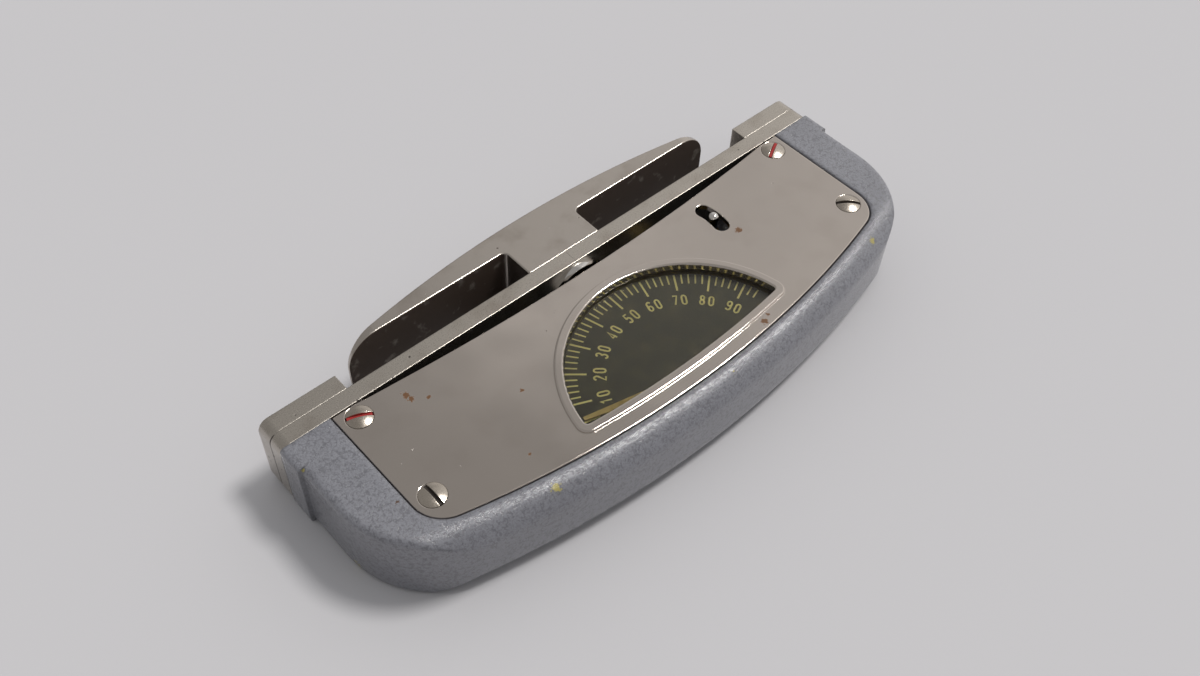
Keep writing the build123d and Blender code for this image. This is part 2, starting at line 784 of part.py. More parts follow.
# Pinion: ten leaves on the pointer's shaft
hub_top = pane_under - hole_gap
with BuildPart() as pinion:
    with BuildSketch(Plane.XY.offset(mid_height - pinion_height / 2)):
        with Locations((0, dial_y)):
            Circle(pinion_radius - dedendum * gear_module)
        for index in range(pinion_teeth):
            leaf_angle = mesh_angle + 180 + (index + 0.5) * 360 / pinion_teeth
            with BuildLine():
                Polyline(*tooth_points(0, dial_y, pinion_radius, leaf_angle), close=True)
            make_face()
    extrude(amount=pinion_height)
    with BuildSketch(Plane.XY.offset(plate_top + hole_gap)):
        with Locations((0, dial_y)):
            Circle(pinion_radius - dedendum * gear_module)
    extrude(amount=upper_level - plate_top - 2 * hole_gap)
    with BuildSketch(Plane.XY.offset(plate_level)):
        with Locations((0, dial_y)):
            Circle(pivot_radius)
    extrude(amount=hub_top - plate_level)
pinion.part.label = "pinion"
export_step(pinion.part, "parts/pinion.step")

# Pointer: tapered blade on a round hub, pressed onto the pinion's shaft
pointer_under = dial_top + pointer_gap
pointer_way = (cos(radians(pointer_angle)), sin(radians(pointer_angle)), 0)
with BuildPart() as pointer:
    with BuildSketch(Plane((0, dial_y, pointer_under), x_dir=pointer_way, z_dir=(0, 0, 1))):
        with BuildLine():
            Polyline(
                (0, -pointer_root / 2),
                (pointer_length, -pointer_tip / 2),
                (pointer_length, pointer_tip / 2),
                (0, pointer_root / 2),
                close=True,
            )
        make_face()
        Circle(pointer_hub)
        Circle(pivot_radius, mode=Mode.SUBTRACT)
    extrude(amount=pointer_thickness)
pointer.part.label = "pointer"
export_step(pointer.part, "parts/pointer.step")

# Return spring: leaf from a slit post to the peg, presses the sector back to its stop
leaf_level = sector_level - peg_length
post_y = bar_y - spring_post_depth
leaf_x = peg_x + peg_radius + fit + leaf_thickness / 2
with BuildLine() as leaf_path:
    ThreePointArc(
        (spring_post_x, post_y),
        ((spring_post_x + leaf_x) / 2 + leaf_bow, (post_y + peg_y) / 2),
        (leaf_x, peg_y + leaf_over),
    )
with BuildPart() as return_spring:
    with BuildSketch(Plane.XY.offset(leaf_level)):
        SlotArc(leaf_path.edge(), leaf_thickness)
    extrude(amount=leaf_height)
return_spring.part.label = "return_spring"
export_step(return_spring.part, "parts/return_spring.step")

with BuildPart() as spring_post:
    with BuildSketch(Plane.XY.offset(plate_top)):
        with Locations((spring_post_x, post_y)):
            Circle(spring_post_radius)
    extrude(amount=leaf_level + leaf_height - plate_top)
    with BuildSketch(Plane.XY.offset(leaf_level - fit)):
        SlotArc(leaf_path.edge(), leaf_thickness + 2 * fit)
    extrude(amount=leaf_height + fit, mode=Mode.SUBTRACT)
spring_post.part.label = "spring_post"
export_step(spring_post.part, "parts/spring_post.step")

# Stop pin: the sector's arm rests near it
arm_half = arm_root + (arm_end - arm_root) * stop_reach / (sector_root - arm_end)
stop_turn = degrees((arm_half + stop_radius + link_gap) / stop_reach)
stop_x, stop_y = polar(pivot_x, pivot_y, stop_reach, rim_angle - stop_turn)
with BuildPart() as stop_pin:
    with BuildSketch(Plane.XY.offset(plate_top)):
        with Locations((stop_x, stop_y)):
            Circle(stop_radius)
    extrude(amount=sector_top - plate_top)
stop_pin.part.label = "stop_pin"
export_step(stop_pin.part, "parts/stop_pin.step")

# Hold lever on its post: the pin in the cover's slot swings it against the brake disc
lever_top = lever_level + lever_thickness
post_top = lever_level - fit
washer_level = lever_top + fit
head_level = washer_level + washer_thickness
with BuildPart() as lever_post:
    with BuildSketch(Plane.XY.offset(plate_top)):
        with Locations((lever_x, lever_y)):
            Circle(post_radius)
    extrude(amount=post_top - plate_top)
    with Locations((lever_x, lever_y, post_top)):
        Hole(small_screw_radius + fit, depth=post_hole_depth)
lever_post.part.label = "lever_post"
export_step(lever_post.part, "parts/lever_post.step")

brake_x, brake_y = polar(lever_x, lever_y, brake_arm, brake_angle)
pin_x = lever_x + lever_arm
with BuildPart() as hold_lever:
    with BuildSketch(Plane.XY.offset(lever_level)):
        with Locations((lever_x, lever_y)):
            Circle(lever_hub)
        with Locations((pin_x, lever_y)):
            Circle(lever_end)
        make_hull()
    with BuildSketch(Plane.XY.offset(lever_level)):
        with Locations((lever_x, lever_y)):
            Circle(lever_hub)
        with Locations((brake_x, brake_y)):
            Circle(2 * brake_pin_radius)
        make_hull()
    extrude(amount=lever_thickness)
    with BuildSketch(Plane.XY.offset(lever_level)):
        with Locations((brake_x, brake_y)):
            Circle(brake_pin_radius)
    extrude(amount=sector_level - lever_level)
    with Locations((lever_x, lever_y, lever_top)):
        Hole(arbor_radius + fit, depth=lever_thickness)
    with Locations((pin_x, lever_y, lever_top)):
        Hole(pivot_radius, depth=lever_thickness)
hold_lever.part.label = "hold_lever"
export_step(hold_lever.part, "parts/hold_lever.step")

with BuildPart() as hold_pin:
    with BuildSketch(Plane.XY.offset(lever_level)):
        with Locations((pin_x, lever_y)):
            Circle(pivot_radius)
    extrude(amount=lever_thickness)
    with BuildSketch(Plane.XY.offset(lever_top)):
        with Locations((pin_x, lever_y)):
            Circle(hold_pin_radius)
    extrude(amount=body_height + hold_pin_rise - lever_top)
    fillet(hold_pin.faces().sort_by(Axis.Z)[-1].edges(), hold_pin_radius * 0.8)
hold_pin.part.label = "hold_pin"
export_step(hold_pin.part, "parts/hold_pin.step")

with BuildPart() as lever_washer:
    with BuildSketch(Plane.XY.offset(washer_level)):
        with Locations((lever_x, lever_y)):
            Circle(washer_radius)
            Circle(arbor_radius, mode=Mode.SUBTRACT)
    extrude(amount=washer_thickness)
lever_washer.part.label = "lever_washer"
export_step(lever_washer.part, "parts/lever_washer.step")

lever_screw_body = slotted_screw(lever_head_radius, post_hole_depth + head_level - post_top - fit)
with BuildPart() as lever_screw:
    with BuildSketch(Plane.XY.offset(post_top)):
        with Locations((lever_x, lever_y)):
            Circle(arbor_radius)
    extrude(amount=head_level - post_top)
    with Locations((lever_x, lever_y, head_level)):
        add(lever_screw_body)
lever_screw.part.label = "lever_screw"
export_step(lever_screw.part, "parts/lever_screw.step")
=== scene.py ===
import logging
import math
from dataclasses import dataclass
from enum import Enum
from typing import Optional, Sequence

import bpy
from mathutils import Matrix, Vector


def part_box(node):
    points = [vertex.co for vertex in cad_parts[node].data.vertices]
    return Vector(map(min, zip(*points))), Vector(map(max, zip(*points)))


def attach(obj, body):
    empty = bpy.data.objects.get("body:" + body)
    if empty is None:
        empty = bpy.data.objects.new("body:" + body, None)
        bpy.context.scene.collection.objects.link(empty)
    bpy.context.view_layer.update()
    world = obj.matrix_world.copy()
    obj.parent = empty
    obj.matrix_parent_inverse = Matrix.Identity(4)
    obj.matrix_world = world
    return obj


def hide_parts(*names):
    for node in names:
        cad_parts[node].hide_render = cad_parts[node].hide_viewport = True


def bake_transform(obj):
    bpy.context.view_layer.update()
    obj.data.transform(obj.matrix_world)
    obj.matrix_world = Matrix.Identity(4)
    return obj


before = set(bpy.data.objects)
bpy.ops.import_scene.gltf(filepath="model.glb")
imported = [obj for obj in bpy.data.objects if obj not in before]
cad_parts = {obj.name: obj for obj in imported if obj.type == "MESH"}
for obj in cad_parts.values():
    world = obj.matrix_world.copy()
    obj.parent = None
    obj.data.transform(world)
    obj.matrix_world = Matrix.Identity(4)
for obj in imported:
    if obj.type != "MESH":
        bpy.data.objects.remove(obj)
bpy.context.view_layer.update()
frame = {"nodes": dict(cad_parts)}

MM = 0.001
LOG = logging.getLogger("dynamometer")

Colour = tuple[float, float, float]
Point = tuple[float, float, float]
Band = tuple[float, float]
Line = list[tuple[float, float]]

# Most of a noise lies between these two levels
NOISE_BAND: Band = (0.3, 0.7)

SCREEN_FULL = 255
SCREEN_KNEE = 0.04045
SCREEN_SLOPE = 12.92
SCREEN_SHIFT = 0.055
SCREEN_POWER = 2.4


def linear(red: int, green: int, blue: int) -> Colour:
    """Turns a screen colour into the linear values that shaders take.

    Args:
        red: Red, 0 to 255.
        green: Green, 0 to 255.
        blue: Blue, 0 to 255.

    Returns:
        The colour as three linear numbers.
    """
    values = []
    for channel in (red, green, blue):
        share = channel / SCREEN_FULL
        if share <= SCREEN_KNEE:
            values.append(share / SCREEN_SLOPE)
        else:
            values.append(((share + SCREEN_SHIFT) / (1 + SCREEN_SHIFT)) ** SCREEN_POWER)
    return values[0], values[1], values[2]


class Body(Enum):
    """Rigid bodies of the frame that the new pieces ride on."""

    ROOT = "root"
    GRIP = "grip"
    SECTOR = "sector"


class NodeTree:
    """Adds and joins shader nodes in one tree."""

    MIX_SHARE = 0
    MIX_FIRST = 6
    MIX_SECOND = 7
    MIX_RESULT = 2

    def __init__(self, tree: bpy.types.NodeTree) -> None:
        """Keeps the tree that nodes are added to."""
        self.tree = tree

    def add(self, kind: str, inputs: Optional[dict] = None, **settings: object) -> bpy.types.Node:
        """Adds a node.

        Args:
            kind: Blender's name of the node type.
            inputs: Socket name or number to a value or to an output socket.
            **settings: Properties of the node.

        Returns:
            The new node.
        """
        node = self.tree.nodes.new(kind)
        for name, value in settings.items():
            setattr(node, name, value)
        for key, value in (inputs or {}).items():
            self.feed(node.inputs[key], value)
        return node

    def feed(self, socket: bpy.types.NodeSocket, value: object) -> None:
        """Joins an output to a socket, or sets the socket's own value.

        Args:
            socket: The input to fill.
            value: An output socket, a number, a vector or a colour of three values.
        """
        if isinstance(value, bpy.types.NodeSocket):
            self.tree.links.new(value, socket)
        elif socket.type == "RGBA" and len(value) == 3:
            socket.default_value = (*value, 1)
        else:
            socket.default_value = value

    def maths(
        self, operation: str, first: object, second: object = 0.0, clamp: bool = False
    ) -> bpy.types.NodeSocket:
        """Adds a Math node.

        Args:
            operation: Blender's name of the operation.
            first: First value or output socket.
            second: Second value or output socket.
            clamp: Whether the result is kept between 0 and 1.

        Returns:
            The node's output.
        """
        node = self.add("ShaderNodeMath", {0: first, 1: second}, operation=operation, use_clamp=clamp)
        return node.outputs[0]

    def vectors(self, operation: str, first: object, second: object) -> bpy.types.Node:
        """Adds a Vector Math node.

        Args:
            operation: Blender's name of the operation.
            first: First vector or output socket.
            second: Second vector or output socket.

        Returns:
            The node, whose output depends on the operation.
        """
        return self.add("ShaderNodeVectorMath", {0: first, 1: second}, operation=operation)

    def mix(self, share: object, first: object, second: object, blend: str = "MIX") -> bpy.types.NodeSocket:
        """Adds a colour mix.

        Args:
            share: How much of the second colour, 0 to 1.
            first: First colour or output socket.
            second: Second colour or output socket.
            blend: Blender's name of the way the colours mix.

        Returns:
            The mixed colour's output.
        """
        node = self.tree.nodes.new("ShaderNodeMix")
        node.data_type = "RGBA"
        node.blend_type = blend
        self.feed(node.inputs[self.MIX_SHARE], share)
        self.feed(node.inputs[self.MIX_FIRST], first)
        self.feed(node.inputs[self.MIX_SECOND], second)
        return node.outputs[self.MIX_RESULT]

    def spread(
        self, value: object, low: object, high: object, to_low: object = 0.0, to_high: object = 1.0
    ) -> bpy.types.NodeSocket:
        """Maps a range smoothly to another.

        Args:
            value: The value to map.
            low: Where the range starts; above high, the result falls.
            high: Where the range ends.
            to_low: Result at the start.
            to_high: Result at the end.

        Returns:
            The result's output.
        """
        node = self.add(
            "ShaderNodeMapRange",
            {"Value": value, "From Min": low, "From Max": high, "To Min": to_low, "To Max": to_high},
            interpolation_type="SMOOTHSTEP",
        )
        return node.outputs["Result"]

    def millimetres(self) -> bpy.types.NodeSocket:
        """Adds object coordinates in millimetres.

        Returns:
            The coordinates' output.
        """
        coordinates = self.add("ShaderNodeTexCoord")
        scale = (1 / MM, 1 / MM, 1 / MM)
        scaled = self.add("ShaderNodeMapping", {"Vector": coordinates.outputs["Object"], "Scale": scale})
        return scaled.outputs["Vector"]

    def facing(self) -> bpy.types.Node:
        """Adds the surface's true normal, taken apart into X, Y and Z."""
        surface = self.add("ShaderNodeNewGeometry")
        return self.add("ShaderNodeSeparateXYZ", {0: surface.outputs["True Normal"]})


class EffectGroup:
    """A shader effect that several finishes share, built once as a node group."""

    name = "effect"
    inputs: dict[str, tuple[str, float]] = {}
    outputs: dict[str, str] = {}

    @classmethod
    def tree(cls) -> bpy.types.NodeTree:
        """Finds the group's tree, or builds it the first time.

        Returns:
            The tree.
        """
        found = bpy.data.node_groups.get(cls.name)
        if found:
            return found
        tree = bpy.data.node_groups.new(cls.name, "ShaderNodeTree")
        for name, (kind, value) in cls.inputs.items():
            socket = tree.interface.new_socket(name, in_out="INPUT", socket_type=kind)
            socket.default_value = value
        for name, kind in cls.outputs.items():
            tree.interface.new_socket(name, in_out="OUTPUT", socket_type=kind)
        nodes = NodeTree(tree)
        start = tree.nodes.new("NodeGroupInput")
        end = tree.nodes.new("NodeGroupOutput")
        cls.build(nodes, start, end)
        return tree

    @classmethod
    def build(cls, nodes: NodeTree, start: bpy.types.Node, end: bpy.types.Node) -> None:
        """Fills the group; each effect has its own."""
        raise NotImplementedError

    @classmethod
    def place(cls, nodes: NodeTree, **values: object) -> bpy.types.Node:
        """Puts the group into a material.

        Args:
            nodes: The material's tree.
            **values: Input name, with _ for a space, to its value or output socket.

        Returns:
            The group's node.
        """
        node = nodes.tree.nodes.new("ShaderNodeGroup")
        node.node_tree = cls.tree()
        for key, value in values.items():
            nodes.feed(node.inputs[key.replace("_", " ")], value)
        return node


class CloudEffect(EffectGroup):
    """Soft patches, 0 to 1."""

    name = "cloud"
    inputs = {
        "Scale": ("NodeSocketFloat", 0.1),
        "Detail": ("NodeSocketFloat", 3.0),
        "Low": ("NodeSocketFloat", 0.4),
        "High": ("NodeSocketFloat", 0.6),
        "Shift": ("NodeSocketFloat", 0.0),
    }
    outputs = {"Mask": "NodeSocketFloat"}

    @classmethod
    def build(cls, nodes: NodeTree, start: bpy.types.Node, end: bpy.types.Node) -> None:
        """Spreads a noise between two levels.

        Args:
            nodes: The tree that the nodes are added to.
            start: The group's inputs.
            end: The group's outputs.
        """
        noise = nodes.add(
            "ShaderNodeTexNoise",
            {
                "Vector": nodes.millimetres(),
                "W": start.outputs["Shift"],
                "Scale": start.outputs["Scale"],
                "Detail": start.outputs["Detail"],
            },
            noise_dimensions="4D",
        )
        mask = nodes.spread(noise.outputs[0], start.outputs["Low"], start.outputs["High"])
        nodes.feed(end.inputs["Mask"], mask)


class SpeckEffect(EffectGroup):
    """Scattered specks of uneven size, such as pits, rust or dust."""

    name = "specks"
    inputs = {
        "Scale": ("NodeSocketFloat", 1.0),
        "Size": ("NodeSocketFloat", 0.3),
        "Share": ("NodeSocketFloat", 0.3),
        "Shift": ("NodeSocketFloat", 0.0),
    }
    outputs = {"Mask": "NodeSocketFloat"}

    JITTER_SCALE = 2.0
    JITTER = (0.5, 0.5, 0.5)
    SMALLEST = 0.3
    CORE = 0.6

    @classmethod
    def build(cls, nodes: NodeTree, start: bpy.types.Node, end: bpy.types.Node) -> None:
        """Cuts small discs out of a share of the cells of a Voronoi pattern.

        Args:
            nodes: The tree that the nodes are added to.
            start: The group's inputs.
            end: The group's outputs.
        """
        place = nodes.millimetres()
        jitter = nodes.add(
            "ShaderNodeTexNoise", {"Vector": place, "Scale": cls.JITTER_SCALE, "Detail": 2.0}
        )
        moved = nodes.vectors("MULTIPLY", jitter.outputs["Color"], cls.JITTER)
        joined = nodes.vectors("ADD", place, moved.outputs[0])
        cells = nodes.add(
            "ShaderNodeTexVoronoi",
            {"Vector": joined.outputs[0], "W": start.outputs["Shift"], "Scale": start.outputs["Scale"]},
            voronoi_dimensions="4D",
        )
        chance = nodes.add("ShaderNodeSeparateColor", {0: cells.outputs["Color"]})
        chosen = nodes.maths("LESS_THAN", chance.outputs[0], start.outputs["Share"])
        growth = nodes.maths("ADD", chance.outputs[1], cls.SMALLEST)
        size = nodes.maths("MULTIPLY", start.outputs["Size"], growth)
        inner = nodes.maths("MULTIPLY", size, cls.CORE)
        disc = nodes.spread(cells.outputs["Distance"], size, inner)
        nodes.feed(end.inputs["Mask"], nodes.maths("MULTIPLY", disc, chosen))


class SpotEffect(EffectGroup):
    """One ragged spot at a place on the part, such as a chip or a rust mark."""

    name = "spot"
    inputs = {
        "X": ("NodeSocketFloat", 0.0),
        "Y": ("NodeSocketFloat", 0.0),
        "Z": ("NodeSocketFloat", 0.0),
        "Radius": ("NodeSocketFloat", 0.5),
    }
    outputs = {"Mask": "NodeSocketFloat", "Ring": "NodeSocketFloat"}

    FRAY_SCALE = 2.4
    FRAY: Band = (0.6, 1.6)
    EDGE: Band = (1.1, 0.85)
    RING_START: Band = (0.9, 1.15)
    RING_END: Band = (1.7, 1.35)

    @classmethod
    def build(cls, nodes: NodeTree, start: bpy.types.Node, end: bpy.types.Node) -> None:
        """Measures the distance to the place and frays it with noise.

        Args:
            nodes: The tree that the nodes are added to.
            start: The group's inputs.
            end: The group's outputs.
        """
        place = nodes.millimetres()
        centre = nodes.add("ShaderNodeCombineXYZ", {axis: start.outputs[axis] for axis in "XYZ"})
        away = nodes.vectors("DISTANCE", place, centre.outputs[0])
        fray = nodes.add("ShaderNodeTexNoise", {"Vector": place, "Scale": cls.FRAY_SCALE, "Detail": 3.0})
        factor = nodes.spread(fray.outputs[0], *NOISE_BAND, *cls.FRAY)
        frayed = nodes.maths("MULTIPLY", away.outputs["Value"], factor)
        share = nodes.maths("DIVIDE", frayed, start.outputs["Radius"])
        nodes.feed(end.inputs["Mask"], nodes.spread(share, *cls.EDGE))
        rise = nodes.spread(share, *cls.RING_START)
        fall = nodes.spread(share, *cls.RING_END)
        nodes.feed(end.inputs["Ring"], nodes.maths("MULTIPLY", rise, fall))


class SeamEffect(EffectGroup):
    """Thin dark line where two parts meet, at one depth along Y."""

    name = "seam"
    inputs = {"Y": ("NodeSocketFloat", 0.0), "Width": ("NodeSocketFloat", 0.16)}
    outputs = {"Mask": "NodeSocketFloat"}

    NEAR: Band = (1.2, 0.6)
    SIDEWAYS: Band = (0.25, 0.6)

    @classmethod
    def build(cls, nodes: NodeTree, start: bpy.types.Node, end: bpy.types.Node) -> None:
        """Darkens the end faces next to the joint.

        Args:
            nodes: The tree that the nodes are added to.
            start: The group's inputs.
            end: The group's outputs.
        """
        parts = nodes.add("ShaderNodeSeparateXYZ", {0: nodes.millimetres()})
        past = nodes.maths("SUBTRACT", parts.outputs["Y"], start.outputs["Y"])
        away = nodes.maths("DIVIDE", nodes.maths("ABSOLUTE", past), start.outputs["Width"])
        near = nodes.spread(away, *cls.NEAR)
        sideways = nodes.spread(nodes.maths("ABSOLUTE", nodes.facing().outputs["X"]), *cls.SIDEWAYS)
        nodes.feed(end.inputs["Mask"], nodes.maths("MULTIPLY", near, sideways))


@dataclass(frozen=True)
class Spot:
    """Place and size of one spot, in millimetres."""

    x: float
    y: float
    z: float
    radius: float

    def place(self, nodes: NodeTree) -> bpy.types.Node:
        """Puts the spot into a material."""
        return SpotEffect.place(nodes, X=self.x, Y=self.y, Z=self.z, Radius=self.radius)


def relief(
    nodes: NodeTree,
    height: bpy.types.NodeSocket,
    strength: float,
    depth: float,
    normal: Optional[bpy.types.NodeSocket] = None,
) -> bpy.types.NodeSocket:
    """Adds a Bump node.

    Args:
        nodes: The material's tree.
        height: Output that gives the height.
        strength: How much of the bump shows, 0 to 1.
        depth: Depth of the relief, in millimetres.
        normal: Normal that the relief stands on, or none for the surface's own.

    Returns:
        The new normal's output.
    """
    bump = nodes.add("ShaderNodeBump", {"Strength": strength, "Distance": depth * MM, "Height": height})
    if normal is not None:
        nodes.feed(bump.inputs["Normal"], normal)
    return bump.outputs["Normal"]


def soft_relief(
    nodes: NodeTree,
    height: bpy.types.NodeSocket,
    strength: float,
    depth: float,
    rounding: float,
    samples: int,
) -> bpy.types.NodeSocket:
    """Adds a Bump node on a normal that rounds the sharp edges.

    Args:
        nodes: The material's tree.
        height: Output that gives the height.
        strength: How much of the bump shows, 0 to 1.
        depth: Depth of the relief, in millimetres.
        rounding: Radius of the rounded edges, in millimetres.
        samples: Rays that feel for the edges.

    Returns:
        The new normal's output.
    """
    soft = nodes.add("ShaderNodeBevel", {"Radius": rounding * MM}, samples=samples)
    return relief(nodes, height, strength, depth, soft.outputs["Normal"])


@dataclass(frozen=True)
class Finish:
    """What every finish has in common."""

    name: str

    def material(self) -> bpy.types.Material:
        """Finds the material, or builds it the first time.

        Returns:
            The material.
        """
        found = bpy.data.materials.get(self.name)
        if found:
            return found
        material = bpy.data.materials.new(self.name)
        material.use_nodes = True
        tree = material.node_tree
        tree.nodes.clear()
        nodes = NodeTree(tree)
        output = nodes.add("ShaderNodeOutputMaterial")
        shader = nodes.add("ShaderNodeBsdfPrincipled")
        nodes.feed(output.inputs["Surface"], shader.outputs["BSDF"])
        self.build(nodes, shader)
        return material

    def build(self, nodes: NodeTree, shader: bpy.types.Node) -> None:
        """Dresses the shader; each finish has its own."""
        raise NotImplementedError

    def dress(self, piece: bpy.types.Object) -> None:
        """Puts the finish on a piece in place of what it has."""
        piece.data.materials.clear()
        piece.data.materials.append(self.material())


@dataclass(frozen=True)
class HammeredEnamel(Finish):
    """Grey hammer-finish enamel over a yellow primer; lengths in millimetres."""

    light: Colour = linear(121, 122, 129)
    dark: Colour = linear(78, 78, 85)
    primer: Colour = linear(152, 142, 74)
    rust: Colour = linear(74, 50, 34)
    cell: float = 0.8
    wobble: float = 2.2
    wobble_scale: float = 1.1
    seam_width: float = 0.2
    seam_gaps: Band = (0.42, 0.55)
    seam_tone: float = 0.35
    grain_scale: float = 2.6
    grain_band: Band = (0.32, 0.62)
    grain_tone: float = 0.45
    patch_shade: float = 0.18
    chip_rim: float = 0.5
    roughness: Band = (0.42, 0.58)
    coat_roughness: float = 0.1
    softening: float = 1.6
    relief: float = 0.2
    relief_strength: float = 0.3
    blob_height: float = 0.6
    grain_height: float = 0.9
    chips: tuple[Spot, ...] = (
        Spot(-38.9, -25.2, 17.3, 0.8),
        Spot(4.3, -27.7, 17.0, 0.55),
        Spot(15.1, -26.5, 17.0, 0.5),
        Spot(52.8, -22.5, 17.0, 0.7),
        Spot(-70.0, -6.2, 1.2, 1.3),
        Spot(-70.9, 7.4, 17.4, 0.4),
    )
    marks: tuple[Spot, ...] = (
        Spot(-62.3, -9.3, 18.0, 0.3),
        Spot(-49.0, 6.0, 4.0, 0.5),
        Spot(30.0, -30.0, 9.0, 0.35),
    )

    def build(self, nodes: NodeTree, shader: bpy.types.Node) -> None:
        """Blobs between thin dark seams, raised in the middle, under a glossy coat.

        Args:
            nodes: The tree that the nodes are added to.
            shader: The material's Principled BSDF.
        """
        place = nodes.millimetres()
        blobs = self.blobs(nodes, place)
        fine = nodes.add(
            "ShaderNodeTexNoise",
            {"Vector": place, "Scale": self.grain_scale, "Detail": 5.0, "Roughness": 0.75},
        ).outputs[0]
        grain = nodes.spread(fine, *self.grain_band)
        tone = nodes.maths(
            "MULTIPLY",
            nodes.spread(blobs, 0.0, 1.0, self.seam_tone, 1.0),
            nodes.spread(grain, 0.0, 1.0, self.grain_tone, 1.0),
        )
        base = self.flaws(nodes, nodes.mix(tone, self.dark, self.light))
        nodes.feed(shader.inputs["Base Color"], base)
        nodes.feed(shader.inputs["Roughness"], nodes.spread(fine, *NOISE_BAND, *self.roughness))
        shader.inputs["Coat Weight"].default_value = 1.0
        shader.inputs["Coat Roughness"].default_value = self.coat_roughness
        height = nodes.maths(
            "ADD",
            nodes.maths("MULTIPLY", blobs, self.blob_height),
            nodes.maths("MULTIPLY", fine, self.grain_height),
        )
        bump = soft_relief(nodes, height, self.relief_strength, self.relief, self.softening, 12)
        nodes.feed(shader.inputs["Normal"], bump)
        nodes.feed(shader.inputs["Coat Normal"], bump)

    def blobs(self, nodes: NodeTree, place: bpy.types.NodeSocket) -> bpy.types.NodeSocket:
        """Makes the hammered pattern: 1 on a blob, falling to 0 at the seams round it.

        Args:
            nodes: The material's tree.
            place: Object coordinates in millimetres.

        Returns:
            The pattern's output.
        """
        wobble = nodes.add(
            "ShaderNodeTexNoise",
            {"Vector": place, "Scale": self.wobble_scale, "Detail": 4.0, "Roughness": 0.6},
        )
        moved = nodes.vectors("MULTIPLY", wobble.outputs["Color"], (self.wobble,) * 3)
        joined = nodes.vectors("ADD", place, moved.outputs[0])
        cells = nodes.add(
            "ShaderNodeTexVoronoi",
            {"Vector": joined.outputs[0], "Scale": self.cell},
            feature="DISTANCE_TO_EDGE",
        )
        seam = nodes.spread(cells.outputs["Distance"], 0.0, self.seam_width)
        return nodes.maths("MAXIMUM", seam, nodes.spread(wobble.outputs[0], *self.seam_gaps))

    def flaws(self, nodes: NodeTree, base: bpy.types.NodeSocket) -> bpy.types.NodeSocket:
        """Adds soft patches, chips down to the primer and rust dots.

        Args:
            nodes: The material's tree.
            base: The enamel's colour.

        Returns:
            The colour with its flaws.
        """
        patches = CloudEffect.place(nodes, Scale=0.1, Detail=3.0, Low=0.35, High=0.7)
        base = nodes.mix(nodes.maths("MULTIPLY", patches.outputs["Mask"], self.patch_shade), base, self.dark)
        for spot in self.chips:
            chip = spot.place(nodes)
            rim = nodes.maths("MULTIPLY", chip.outputs["Ring"], self.chip_rim)
            base = nodes.mix(rim, base, self.dark)
            base = nodes.mix(chip.outputs["Mask"], base, self.primer)
        for spot in self.marks:
            base = nodes.mix(spot.place(nodes).outputs["Mask"], base, self.rust)
        return base


